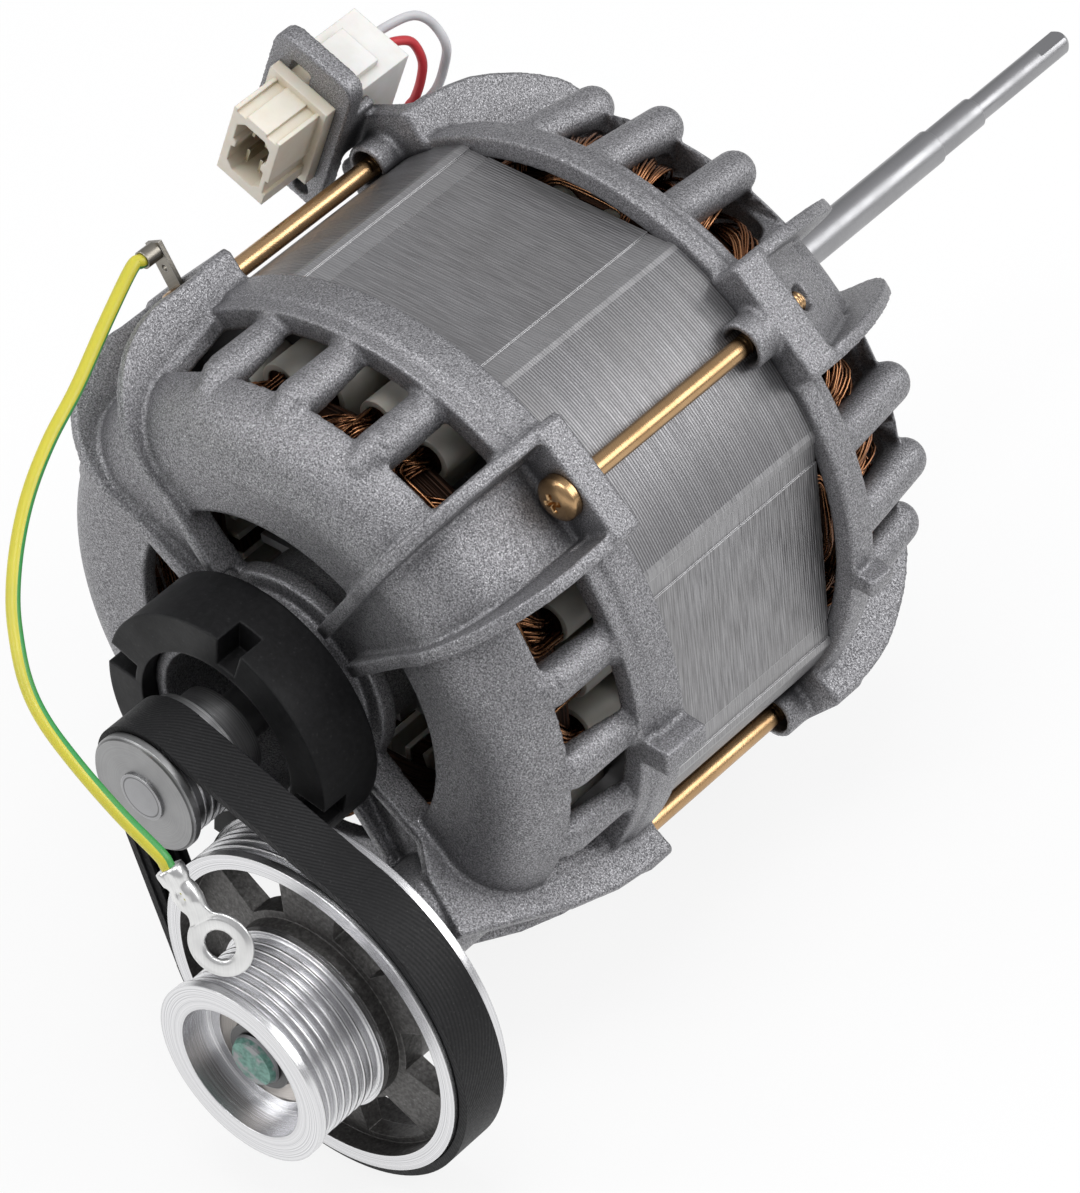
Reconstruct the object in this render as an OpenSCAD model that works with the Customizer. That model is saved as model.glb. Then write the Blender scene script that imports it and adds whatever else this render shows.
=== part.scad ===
// Belt drive motor for a laundry machine: induction motor in two cast end shields,
// held by a rubber ring, with a ribbed motor pulley, a short ribbed belt and a
// double pulley on a lay shaft. The shaft axis lies along Y with the pulley end at -Y,
// X points right and Z points up. The origin is on the shaft axis at the middle of
// the rubber ring.

/* [Stator] */
// Diameter over the round corners of the stator core
core_d = 104.4; // [103:0.2:107]
// Distance across the four flats of the stator core
core_flats = 95; // [92:0.5:96]
// Length of the stator core
core_len = 41.3; // [38:0.1:50]
// Bore of the stator core
core_bore = 56; // [54:0.5:58]
// Number of slots
slot_n = 24; // [12:12:24]
// Width of a slot at its outer end
slot_w = 6; // [4:0.2:6.4]
// Depth of a slot, from its neck to its outer end
slot_depth = 13; // [11:0.5:13.5]

/* [End shields] */
// Radial height of a shield ring beyond the round corners of the core
ring_lip = 1.7; // [1.2:0.1:3]
// Radial thickness of a shield ring
ring_t = 4.1; // [3.6:0.1:5]
// Depth of the front shield, from its rib fronts to the core
front_depth = 33.3; // [32:0.1:38]
// Length of the front shield's ring
front_ring_len = 9.3; // [8:0.1:11]
// Depth of the rear shield, from the core to its end wall
rear_depth = 24.5; // [23:0.1:30]
// Length of the rear shield's ring
rear_ring_len = 6.4; // [5:0.1:8]
// Wall thickness of the cages
wall_t = 3; // [2.4:0.1:3.4]
// Radius of the front nose bulge
nose_r = 11; // [10:0.1:12]
// Width of a half-round bar
bar_w = 7.2; // [6:0.1:8]
// Angle between neighbouring bars
bar_step = 18.5; // [17:0.1:19]
// Radial height of a bar beyond the cage wall
bar_h = 2.2; // [1.6:0.1:3]
// Thickness of a corner rib
rib_t = 2.3; // [1.8:0.1:3]
// Half distance between a pair of ribs at the hub
rib_half_in = 3.7; // [3:0.1:5]
// Half distance between a pair of ribs at the bolt ear
rib_half_out = 9.2; // [8.6:0.1:10]
// Inner radius of the front nose, outside the arc-shaped openings
lip_r = 30.2; // [28:0.1:32]
// Outer radius of the hub ring inside the openings
hub_r = 18.3; // [17.6:0.1:20]
// Outer diameter of the front hub tube
tube_d = 30.8; // [29.6:0.1:32]
// How far the hub tube reaches in front of the rubber ring's middle
tube_reach = 3.1; // [1:0.1:5]

/* [Windings] */
// How far the slot linings stand out of the core in front
collar_front = 10; // [8:0.1:11]
// How far the slot linings stand out of the core at the rear
collar_rear = 5; // [4:0.1:6]
// Width of the front end turn, along the shaft
turn_front = 9; // [7:0.1:9.4]
// Width of the rear end turn, along the shaft
turn_rear = 9; // [7:0.1:9.4]

/* [Tie bolts] */
// Diameter of a tie bolt
rod_d = 3.4; // [3:0.1:4]
// Gap between the core and a tie bolt
rod_gap = 0.5; // [0.3:0.1:1]
// Diameter of a bolt head
head_d = 7.6; // [6.8:0.1:8]
// Height of a bolt head
head_h = 2.8; // [2.2:0.1:3.2]
// Thickness of the front ear under a bolt head
ear_t = 5.5; // [4:0.1:6.5]

/* [Rubber ring] */
// Outer diameter of the rubber mounting ring
rubber_d = 44.6; // [42:0.2:48]
// Width of the rubber mounting ring
rubber_w = 12; // [10:0.1:12.4]
// Distance from the rubber ring's middle to the rib fronts
rubber_to_ribs = 8.2; // [7.6:0.1:10]
// Depth of the key notches in the rubber ring's front
notch_d = 5; // [3:0.1:6]
// Width of a key notch as an angle
notch_a = 12; // [8:0.5:16]

/* [Shaft and rotor] */
// Diameter of the shaft in the pulley
shaft_front_d = 8.4; // [7.6:0.1:9]
// Diameter of the rear shaft end behind the bearing
shaft_rear_d = 6.3; // [6:0.1:7]
// Diameter of the second step of the rear shaft end
shaft_rear2_d = 5.5; // [5:0.1:5.8]
// Diameter of the third step of the rear shaft end
shaft_rear3_d = 4.5; // [4.2:0.1:4.8]
// Length of the shaft behind the rear shield's end wall
shaft_rear_len = 98.6; // [90:0.1:110]
// Length of the second step of the rear shaft end
step2_len = 11.3; // [8:0.1:14]
// Length of the third step of the rear shaft end
step3_len = 24.3; // [20:0.1:28]
// Length of the flat on the shaft's tip
tip_flat_len = 7; // [5:0.1:12]
// Depth of the flat on the shaft's tip
tip_flat_depth = 0.5; // [0.3:0.05:0.9]
// Air gap between rotor and stator
air_gap = 0.4; // [0.3:0.05:0.6]

/* [Motor bearings] */
// Bore of a motor bearing
brg_id = 10; // [9.4:0.1:10.4]
// Outer diameter of a motor bearing
brg_od = 26; // [25:0.1:26.4]
// Width of a motor bearing
brg_w = 8; // [7:0.1:9]
// Number of balls in a bearing
ball_n = 7; // [6:1:8]

/* [Belt stage] */
// Pitch of the belt ribs
rib_pitch = 1.6; // [1.5:0.02:1.7]
// Number of ribs on the motor belt
belt_ribs = 5; // [4:1:6]
// Thickness of the motor belt
belt_t = 2.65; // [2.4:0.05:3.1]
// Depth of the belt grooves
groove_d = 1.2; // [1:0.05:1.3]
// Crest diameter of the motor pulley
small_d = 19.2; // [18:0.1:22]
// Crest diameter of the large pulley
large_d = 58.8; // [54:0.1:60]
// Distance from the motor axis to the lay shaft
lay_r = 42.1; // [41.6:0.1:46]
// Direction of the lay shaft seen from the front, from +X towards +Z
lay_a = -47; // [-50:0.5:-43]
// Distance from the belt's middle to the rubber ring's middle
belt_y = 16; // [15.4:0.1:17]
// Thickness of the motor pulley's front disc
disc_t = 1.6; // [1.2:0.1:2]
// Diameter of the motor pulley's front disc
disc_d = 20.9; // [20.4:0.1:23]

/* [Drum pulley] */
// Crest diameter of the drum pulley
drum_d = 31.2; // [30:0.1:33]
// Number of grooves on the drum pulley
drum_grooves = 8; // [6:1:9]
// Diameter of the drum pulley's flanges
drum_flange_d = 32.6; // [32:0.1:35]
// Width of a drum pulley flange
drum_flange_w = 1.5; // [1.2:0.05:1.8]
// Diameter of the recess in front of the bearing
recess_d = 23.8; // [23:0.1:25]
// Depth of the recess in front of the bearing
recess_depth = 5.5; // [4:0.1:7]
// Number of spokes in the large pulley
spoke_n = 6; // [5:1:7]
// Bore of a lay shaft bearing
lay_brg_id = 8; // [7.6:0.1:8.4]
// Outer diameter of a lay shaft bearing
lay_brg_od = 22; // [21.4:0.1:22.4]
// Width of a lay shaft bearing
lay_brg_w = 7; // [6:0.1:7.4]
// Diameter of the lay shaft's riveted head
lay_head_d = 9; // [8.6:0.1:10]

/* [Connector] */
// Width of the socket housing
sock_w = 10; // [9:0.1:11]
// Height of the socket housing
sock_h = 16; // [15:0.1:17]
// How far the socket stands in front of its frame
sock_len = 11.5; // [9:0.1:14]
// Length of the plug housing behind the frame
plug_len = 14.5; // [12:0.1:17]
// Thickness of the connector frame
frame_t = 3.4; // [2.8:0.1:4]
// Width of the connector frame's rim round the socket
frame_rim = 3.4; // [2.8:0.1:4]

/* [Earth wire] */
// Diameter of the earth wire over its insulation
earth_d = 2.3; // [2:0.1:2.6]
// Outer diameter of the ring terminal's eye
eye_d = 9.8; // [9:0.1:11]
// Hole of the ring terminal
eye_hole_d = 5.1; // [4.3:0.1:5.5]

/* [Hidden] */
$fn = 96;
eps = 0.02;
run_gap = 0.03;
// axial stations
fy0 = rubber_to_ribs;
fy1 = fy0 + front_depth;
ry0 = fy1 + core_len;
ry1 = ry0 + rear_depth;
fwin1 = fy1 - front_ring_len;
fwin0 = fy0 + 11.2;
rwin0 = ry0 + rear_ring_len;
rwin1 = ry1 - 2.3;
// radii of the shields
core_r = core_d / 2;
flat_r = core_flats / 2;
ring_r = core_r + ring_lip;
ring_in = ring_r - ring_t;
step_r = ring_r - 0.6;
wall_r = ring_r - 1.6;
nose_out = ring_r - 3.9;
nose_c = nose_out - nose_r;
nose_y = fy0 + 1.3 + nose_r;
// tie bolts
rod_r = core_r + rod_gap + rod_d / 2;
ear_s = rod_r + head_d / 2 + 0.4;
boss_d = 2 * (ear_s - rod_r) - 0.1;
seat_y = fy1 - ear_t;
rod_y1 = ry0 + 9;
// ribs
rib_s0 = 20;
rib_tilt = atan((rib_half_out - rib_half_in) / (rod_r - rib_s0));
ear_w = 2 * rib_half_out + rib_t;
pocket_h = rib_half_out - rib_t / 2 - 0.8;
bar_lean = 8.5;
// bearings
fbrg_y = fy0 + 6;
rbrg_y = ry1 - 3.5 - brg_w;
brg_pr = (brg_id + brg_od) / 4;
ball_r = (brg_od - brg_id) * 0.148;
lay_pr = (lay_brg_id + lay_brg_od) / 4;
lay_ball_r = (lay_brg_od - lay_brg_id) * 0.142;
spine_d = brg_id + 2.8;
shaft_y0 = -belt_y - (belt_ribs * rib_pitch + 1.2) / 2 - disc_t - 0.5;
sy3 = ry1 + shaft_rear_len;
sy2 = sy3 - step3_len;
sy1 = sy2 - step2_len;
// belt stage
belt_w = belt_ribs * rib_pitch + 0.6;
groove_w = belt_w + 0.6;
by0 = -belt_y - groove_w / 2;
by1 = -belt_y + groove_w / 2;
small_r = small_d / 2;
large_r = large_d / 2;
belt_up = belt_t - groove_d;
belt_gap = 0.12;
rib_gap = 0.12 + belt_gap * 0.7;
lx = lay_r * cos(lay_a);
lz = lay_r * sin(lay_a);
drum_r = drum_d / 2;
drum_w = drum_grooves * rib_pitch + 2 * drum_flange_w;
rim_y0 = by0 - 0.6;
drum_y0 = rim_y0 - drum_w + 0.2;
lay_brg_y = drum_y0 + recess_depth;
lay_brg2_y = by1 + 1.6 - lay_brg_w;

// windings
coil_in = core_bore / 2 + 3;
coil_out = core_bore / 2 + slot_depth + 2.5;
coil_front_out = coil_out - 2.9;
loop_d = 1.8;
// earth wire
tab_t = 0.8;
tab_a = 118;
tab_reach = 10.6;
tab_o = [rod_r * cos(135), seat_y, rod_r * sin(135)];
sleeve_len = 3;
wire_mid = [[-39, 19, 46.4], [-34, 7, 44.2], [-30.5, -3, 42.4], [-27, -11.4, 40], [-23, -18.6, 37.2],
    [-18.6, -24.8, 34], [-14.6, -29, 31], [-9.2, -33.2, 27.2], [-3.6, -35.6, 23.8], [4, -37, 19.8], [13, -38, 15.6]];
eye_o = [30.6, -38, -1.1];
eye_a = 129;
eye_t = 0.9;
// leads
lead_d = 1.6;
plug_w = sock_w + 2;
plug_h = sock_h + 0.4;
red_u = 0.9;
red_v = 4.2;
red_a = 149;
grey_u = -1.6;
grey_v = 4.8;
grey_a = 151.7;
// turns local z to the shaft direction +Y
module along() { rotate([-90, 0, 0]) children(); }
// turns +X towards +Z about the shaft axis
module spin(a) { rotate([0, -a, 0]) children(); }
// moves to a station on the shaft axis and points z along +Y
module at_y(y) { translate([0, y, 0]) along() children(); }
// moves to the lay shaft
module at_lay(y) { translate([lx, y, lz]) along() children(); }
module tube(ro, ri, h) {
    difference() {
        cylinder(r = ro, h = h);
        translate([0, 0, -1]) cylinder(r = ri, h = h + 2);
    }
}
// one bar: half-round across the openings, then tapered and bent over the nose in two steps
module front_bar() {
    cr = bar_w / 2;
    translate([nose_out + bar_h - cr, nose_y, 0]) {
        rotate([-90, 0, 0]) cylinder(r = cr, h = fwin1 - nose_y + 1.5);
        rotate([0, 0, -27]) {
            rotate([90, 0, 0]) translate([0, 0, -0.6]) cylinder(r1 = cr - 0.02, r2 = cr - 0.5, h = 4.2);
            translate([0, -3.2, 0]) rotate([0, 0, -31]) rotate([90, 0, 0]) translate([0, 0, -0.8]) cylinder(r1 = cr - 0.38, r2 = cr - 1.9, h = 6);
        }
    }
}
// the rear bars lean inwards to the shoulder and end in a ball
module rear_bar() {
    cr = bar_w / 2;
    translate([nose_out + bar_h - cr, rwin0 - 2, 0]) rotate([0, 0, bar_lean]) {
        rotate([-90, 0, 0]) cylinder(r = cr, h = rwin1 - rwin0 + 2.5);
        translate([0, rwin1 - rwin0 + 2.5, 0]) sphere(r = cr);
        translate([-cr - 3, rwin1 - rwin0 - 1, -cr + 0.7]) cube([cr + 3, 5, 2 * cr - 1.4]);
    }
}
// a wide opening in each sector of the cage, which the bars divide into four windows
module windows(y0, y1) {
    wa = 1.5 * bar_step + asin(bar_w / 2 / nose_out) + 1.4;
    for (q = [0:3]) {
        spin(q * 90) translate([0, y1, 0]) rotate([90, 0, 0]) linear_extrude(y1 - y0)
            polygon([[38, -38 * tan(wa)], [60 * cos(wa), -60 * sin(wa)], [66, -24], [66, 24],
                [60 * cos(wa), 60 * sin(wa)], [38, 38 * tan(wa)]]);
    }
}
// a pair of corner ribs set along their lines from hub to ear
module rib_pair() {
    for (s = [-1, 1]) {
        translate([rib_s0, 0, s * rib_half_in]) rotate([0, -s * rib_tilt, 0])
            translate([-rib_s0, 0, -rib_t / 2]) linear_extrude(rib_t) children();
    }
}
module front_rib_2d() {
    cr = 19.3;
    cs = ear_s - cr;
    cy = fy0 - 0.7 + cr;
    intersection() {
        translate([cs, cy]) circle(r = cr);
        translate([cs - 10, cy - cr - 1]) square([cr + 11, cr + 5]);
    }
    polygon([[19, fy0], [cs - 1, fy0], [cs + 2, cy - 2], [ear_s - 0.15, cy + 0.5], [ear_s - 0.15, fy1], [core_r - 6, fy1],
        [core_r - 6, fy0 + 22], [30, fy0 + 6], [19, fy0 + 6]]);
}
module bracket_rib_2d() {
    polygon([[19, fy0], [32, fy0], [ear_s - 21.3, fy0 - 3.4], [ear_s - 11.2, fy0 - 6], [ear_s - 7.2, fy0 + 3.4],
        [ear_s - 3, fy0 + 13.3], [ear_s - 0.6, fy0 + 21.7], [ear_s, fy0 + 27], [ear_s, fy1], [core_r - 6, fy1],
        [core_r - 6, fy0 + 22], [30, fy0 + 6], [19, fy0 + 6]]);
}
module rear_rib_2d() {
    polygon(concat([[ear_s, ry0], [ear_s, ry0 + 5]],
        smooth([[ear_s - 0.1, ry0 + 7.5], [ear_s - 1.5, ry0 + 14.2], [ear_s - 5.6, ry0 + 22.4], [ear_s - 10.6, ry1 + 4.4],
            [ear_s - 14.2, ry1 + 6.7], [ear_s - 17.6, ry1 + 7.2], [ear_s - 20.8, ry1 + 5.9]], 2),
        [[22, ry1 + 2], [22, ry1 - 3], [40, ry1 - 4], [core_r - 6, ry0 + 7], [core_r - 6, ry0]]));
}
// floor between a pair of rear ribs, sloping down from the ear
module rear_floor() {
    fl = rib_half_out - rib_t / 2 + 0.4;
    translate([0, 0, -fl]) linear_extrude(2 * fl)
        polygon([[core_r - 6, ry0 + 2], [ear_s - 1.9, ry0 + 2], [ear_s - 1.9, ry0 + 6.4], [core_r - 2.6, ry0 + 17.5], [core_r - 6, ry0 + 17.5]]);
}
module front_form_2d() {
    translate([nose_c, nose_y]) circle(r = nose_r);
    polygon([[0, fy0 + 3.6], [hub_r, fy0 + 3.6], [lip_r, fy0 + 2], [nose_c, fy0 + 1.3], [nose_out, nose_y],
        [wall_r, fwin1], [step_r, fwin1], [step_r, fwin1 + 3.2], [ring_r, fwin1 + 3.2], [ring_r, fy1], [0, fy1]]);
}
module front_cavity_2d() {
    translate([nose_c, nose_y]) circle(r = nose_r - wall_t);
    polygon([[0, fy0 + 7], [lip_r, fy0 + 5.2], [nose_c, fy0 + 1.3 + wall_t], [nose_out - wall_t, nose_y],
        [wall_r - wall_t, fwin1], [ring_in, fwin1 + 2], [ring_in, fy1 + 1], [0, fy1 + 1]]);
}
module rear_form_2d() {
    er = 7;
    ec = nose_out - 2.6 - er;
    translate([ec, ry1 - er]) circle(r = er);
    polygon([[0, ry0], [ring_r, ry0], [ring_r, ry0 + 3.4], [step_r, ry0 + 3.4], [step_r, rwin0 - 0.6],
        [nose_out, rwin0 - 0.6], [nose_out - 2.6, ry1 - er], [ec, ry1], [0, ry1]]);
}
module rear_cavity_2d() {
    er = 7;
    ec = nose_out - 2.6 - er;
    translate([ec, ry1 - er]) circle(r = er - wall_t);
    polygon([[0, ry0 - 1], [ring_in, ry0 - 1], [ring_in, ry0 + 4], [nose_out - wall_t, rwin0 + 1],
        [nose_out - 2.6 - wall_t, ry1 - er], [ec, ry1 - wall_t], [0, ry1 - wall_t]]);
}
module revolve() { rotate([-90, 0, 0]) rotate_extrude($fn = 180) children(); }
// the arc-shaped openings stop at the outer faces of the rib pairs
module arc_openings(y0, h, ri, ro) {
    difference() {
        translate([0, y0, 0]) along() tube(ro, ri, h);
        for (q = [0:3]) {
            spin(45 + 90 * q) rotate([90, 0, 0]) translate([0, 0, -y0 - h - 1]) linear_extrude(h + 2)
                polygon([[0, -rib_half_in - rib_t / 2 + 2.4], [rib_s0, -rib_half_in - rib_t / 2], [rod_r, -rib_half_out - rib_t / 2],
                    [rod_r, rib_half_out + rib_t / 2], [rib_s0, rib_half_in + rib_t / 2], [0, rib_half_in + rib_t / 2 - 2.4]]);
        }
    }
}
module ear_block(y0, y1) {
    translate([core_r - 3.4, y0, -ear_w / 2]) cube([ear_s - core_r + 3.4, y1 - y0, ear_w]);
}
module front_shield() {
    color([0.56, 0.56, 0.58])
    difference() {
        union() {
            difference() {
                union() {
                    difference() {
                        union() {
                            revolve() front_form_2d();
                            for (a = [45, 135, 225]) {
                                spin(a) rib_pair() front_rib_2d();
                            }
                            spin(-45) rib_pair() bracket_rib_2d();
                            for (q = [0:3]) {
                                spin(45 + 90 * q) ear_block(seat_y, fy1);
                            }
                            spin(-4) translate([ring_r - 1.5, fwin1, -2.3]) cube([5.8, front_ring_len, 4.6]);
                        }
                        windows(fwin0, fwin1);
                    }
                    for (q = [0:3]) {
                        for (k = [-1:1]) {
                            spin(q * 90 + k * bar_step) front_bar();
                        }
                    }
                }
                revolve() front_cavity_2d();
                arc_openings(fy0 - 2, 10, hub_r, lip_r);
            }
            // hub tube, hub ring and bearing housing
            at_y(-tube_reach) cylinder(d = tube_d, h = fbrg_y + brg_w + 2 + tube_reach);
            at_y(fy0 + 3.6) cylinder(r = hub_r, h = 3.4);
            // boss that carries the lay shaft
            at_lay(by1 + 2.6) cylinder(d = 17, h = fy0 + 1.8 - by1);
        }
        at_y(-tube_reach - 1) cylinder(d = brg_od + 0.6, h = fbrg_y + tube_reach + 0.5);
        at_y(fbrg_y - 0.5) cylinder(d = brg_od, h = brg_w + 0.5);
        at_y(fbrg_y) cylinder(d = brg_id + 9, h = brg_w + 4);
        at_lay(by1 + 1) cylinder(d = lay_brg_id, h = 21);
        for (q = [0:3]) {
            spin(45 + 90 * q) translate([rod_r, seat_y - 1, 0]) along() cylinder(d = rod_d + 0.3, h = ear_t + 2);
            spin(45 + 90 * q) translate([rod_r - head_d / 2 - 0.4, fy0 + 12, -pocket_h])
                cube([12, seat_y - fy0 - 12, 2 * pocket_h]);
        }
    }
}
module rear_shield() {
    color([0.54, 0.54, 0.56])
    difference() {
        union() {
            difference() {
                union() {
                    difference() {
                        union() {
                            revolve() rear_form_2d();
                            for (q = [0:3]) {
                                spin(45 + 90 * q) rib_pair() rear_rib_2d();
                                spin(45 + 90 * q) ear_block(ry0 - 0.6, ry0 + 5.7);
                                spin(45 + 90 * q) rear_floor();
                                spin(45 + 90 * q) translate([rod_r, ry0 - 5.2, 0]) along() cylinder(d = boss_d, h = 7);
                            }
                            spin(135) saddle();
                            spin(-6) translate([ring_r - 1.5, ry0, -1.6]) cube([5, 5.4, 3.2]);
                        }
                        windows(rwin0, rwin1);
                    }
                    for (q = [0:3]) {
                        for (k = [-1:1]) {
                            spin(q * 90 + k * bar_step) rear_bar();
                        }
                    }
                }
                revolve() rear_cavity_2d();
                arc_openings(ry1 - 6, 14, hub_r, 30);
                translate([0, ry0 - 6, 0]) along() cylinder(r = core_r + 0.05, h = 6);
            }
            at_y(rbrg_y - 2) cylinder(d = brg_od + 5, h = brg_w + 5.5);
            connector_frame();
        }
        at_y(rbrg_y - 3) cylinder(d = brg_od, h = brg_w + 3);
        at_y(rbrg_y) cylinder(d = brg_id + 6, h = brg_w + 8);
        for (q = [0:3]) {
            spin(45 + 90 * q) translate([rod_r, ry0 - 6, 0]) along() cylinder(d = boss_d - 2.1, h = 6.6);
            spin(45 + 90 * q) translate([rod_r, ry0, 0]) along() cylinder(d = rod_d + 0.05, h = 6);
            spin(45 + 90 * q) translate([rod_r, ry0 + 5.9, 0]) along() cylinder(d = rod_d + 0.9, h = 5.4);
        }
        spin(135) saddle_notch();
    }
}
// plate beside the bolt boss: it carries the connector frame and has a saddle for the leads
module saddle() {
    difference() {
        translate([0, ry0 + 3.2, 0]) rotate([90, 0, 0]) linear_extrude(3.95)
            polygon(concat([[rod_r - 6, -9.4], [rod_r + 4.2, -9.4]],
                smooth([[rod_r + 6.6, -3], [rod_r + 9, 3.4], [rod_r + 9.1, 6.2], [rod_r + 7, 7.2], [rod_r + 3.8, 5.8], [rod_r + 1.2, 5.3],
                    [rod_r - 0.6, 5.8], [rod_r - 1, 7.2], [rod_r - 0.4, 8.7], [rod_r + 1.4, 9.3], [rod_r + 2.7, 10.2],
                    [rod_r + 3, 11.8], [rod_r + 2, 13.5], [rod_r, 13.9], [rod_r - 2, 13.6]], 2),
                [[rod_r - 6, 14.6]]));
        spin(-135) frame_axes() translate([-20, 0, -20]) cube([20.5 + plug_w / 2, 20, 40]);
    }
}
module saddle_notch() {
    translate([rod_r + 0.9, ry0 - 1.2, 7.25]) along() cylinder(r = 1.75, h = 7.4);
    translate([rod_r + 0.9, ry0 - 1.2, 7.25 - 1.67]) cube([12, 7.4, 3.34]);
    translate([rod_r + 3, ry0 - 1.2, 7.25 - 1.6]) cube([12, 7.4, 6]);
}
// the frame's own axes: u along its short side, v along its long side
frame_o = corner_pt(rod_r + 13, -5.44, -6.8);
module frame_axes() { translate(frame_o) rotate([0, 23, 0]) children(); }
module frame_2d(w, v0, v1) {
    polygon(concat([for (a = [0:30:90]) [w - 3 + 3 * cos(a), v1 - 3 + 3 * sin(a)]],
        [for (a = [90:30:180]) [3 - w + 3 * cos(a), v1 - 3 + 3 * sin(a)]],
        [for (a = [180:30:270]) [3 - w + 3 * cos(a), v0 + 3 + 3 * sin(a)]], [[w, v0]]));
}
module connector_frame() {
    fh = sock_h + 2 * frame_rim + 8;
    frame_axes() difference() {
        union() {
            translate([0, frame_t, 0]) rotate([90, 0, 0]) linear_extrude(frame_t) frame_2d(sock_w / 2 + frame_rim, -fh / 2 + 4, fh / 2);
            translate([sock_w / 2 + frame_rim - 8, 0, -fh / 2 - 1]) cube([8, frame_t, 6]);
            translate([sock_w / 2 + frame_rim - 2, frame_t - 1, -4]) cube([1.9, 5.4, 11]);
        }
        translate([-sock_w / 2, -1, -sock_h / 2]) cube([sock_w, frame_t + 2, sock_h]);
        translate([-sock_w / 2 + 1, -1, sock_h / 2 - 0.5]) cube([4, frame_t + 2, 4]);
        translate([sock_w / 2 + frame_rim - 4, -1, -fh / 2 + 1.6]) along() cylinder(d = 3, h = frame_t + 2);
    }
}
module stator_core() {
    color([0.66, 0.67, 0.68])
    difference() {
        intersection() {
            at_y(fy1) cylinder(r = core_r, h = core_len, $fn = 180);
            translate([-flat_r, fy1 - 1, -flat_r]) cube([2 * flat_r, core_len + 2, 2 * flat_r]);
        }
        at_y(fy1 - 1) cylinder(d = core_bore, h = core_len + 2);
        for (i = [0:slot_n - 1]) {
            spin((i + 0.5) * 360 / slot_n) translate([0, fy1 - 1, 0]) rotate([-90, 0, 0])
                linear_extrude(core_len + 2) slot_2d(0);
        }
        // shallow steps beside the flats
        for (q = [0:3]) {
            for (s = [-1, 1]) {
                spin(q * 90) translate([flat_r - 0.3, fy1 - 1, s * 18.3 - 2]) cube([2, core_len + 2, 4]);
            }
        }
    }
}
// slot outline from the bore outwards; a lining of thickness g is taken off all round
module slot_2d(g) {
    r0 = core_bore / 2;
    n = slot_w * 0.62;
    polygon([[r0 - 1, -1 + g], [r0 + 1.2, -1 + g], [r0 + 2, -n / 2 + g], [r0 + 2 + slot_depth - slot_w / 2, -slot_w / 2 + g],
        [r0 + 2 + slot_depth - slot_w / 2, slot_w / 2 - g], [r0 + 2, n / 2 - g], [r0 + 1.2, 1 - g], [r0 - 1, 1 - g]]);
    translate([r0 + 2 + slot_depth - slot_w / 2, 0]) circle(r = slot_w / 2 - g, $fn = 32);
}
// 24 slot linings with their collars, and the winding inside them
liner_len = core_len + collar_front + collar_rear;
module slot_liners() {
    color([0.93, 0.92, 0.88])
    for (i = [0:slot_n - 1]) {
        spin((i + 0.5) * 360 / slot_n) rotate([-90, 0, 0]) difference() {
            union() {
                translate([0, 0, fy1 - collar_front]) linear_extrude(liner_len) slot_2d(0.05);
                translate([0, 0, fy1 - collar_front]) linear_extrude(collar_front - 0.1) slot_2d(-0.6);
                translate([0, 0, ry0 + 0.1]) linear_extrude(collar_rear - 0.1) slot_2d(-0.6);
            }
            translate([0, 0, fy1 - collar_front - 1]) linear_extrude(liner_len + 2) slot_2d(0.5);
            translate([core_bore / 2 - 4, -5, fy1 - collar_front - 1]) cube([6.2, 10, liner_len + 2]);
        }
    }
}
// the winding's legs in the slots and its two end turns
module winding_body() {
    color([0.62, 0.33, 0.16])
    union() {
        translate([0, fy1 - collar_front - turn_front, 0]) along() end_turn(turn_front - 0.2, coil_front_out);
        translate([0, ry0 + collar_rear + 0.2, 0]) along() end_turn(turn_rear - 0.2, coil_out);
        for (i = [0:slot_n - 1]) {
            spin((i + 0.5) * 360 / slot_n) rotate([-90, 0, 0]) {
                translate([0, 0, fy1 - collar_front + 0.3]) linear_extrude(liner_len + 0.7) intersection() {
                    slot_2d(0.55);
                    translate([core_bore / 2 + 2.4, -5]) square([slot_depth + 2, 10]);
                }
                translate([coil_in + 1.2, -1.2, fy1 - collar_front - 1]) cube([coil_front_out - coil_in - 2.4, 2.4, 2]);
            }
        }
    }
}
module end_turn(h, ro) {
    difference() {
        rotate_extrude() polygon([[coil_in, 0], [coil_in + 1.5, 0], [ro - 1.5, 0], [ro, 1.5],
            [ro, h - 1.5], [ro - 1.5, h], [coil_in + 1.5, h], [coil_in, h - 1.5]]);
        translate([0, 0, -1]) cylinder(r = coil_in + 0.01, h = h + 2);
    }
}
// a strand bundle: up from the core, across over the end turn, and back to the core
function arc_pt(r, a, y) = [r * cos(a), y, r * sin(a)];
function leg_y(yl, ys, dir) = let (h = abs(yl - ys) - 2.4) [for (y = [0, loop_d, (h + loop_d) / 2, h]) ys + dir * y];
function loop_pts(ac, ha, yl, ys, dir, r) = concat(
    [for (y = leg_y(yl, ys, dir)) arc_pt(r, ac - ha, y)],
    [arc_pt(r, ac - ha + 0.9, yl - dir * 0.7)],
    [for (k = [0:13]) arc_pt(r, ac - ha + 3.2 + (2 * ha - 6.4) * k / 13, yl)],
    [arc_pt(r, ac + ha - 0.9, yl - dir * 0.7)],
    [for (k = [3:-1:0]) arc_pt(r, ac + ha, leg_y(yl, ys, dir)[k])]);
function unit(v) = v / norm(v);
function tangent(p, i) = unit(p[min(i + 1, len(p) - 1)] - p[max(i - 1, 0)]);
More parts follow.
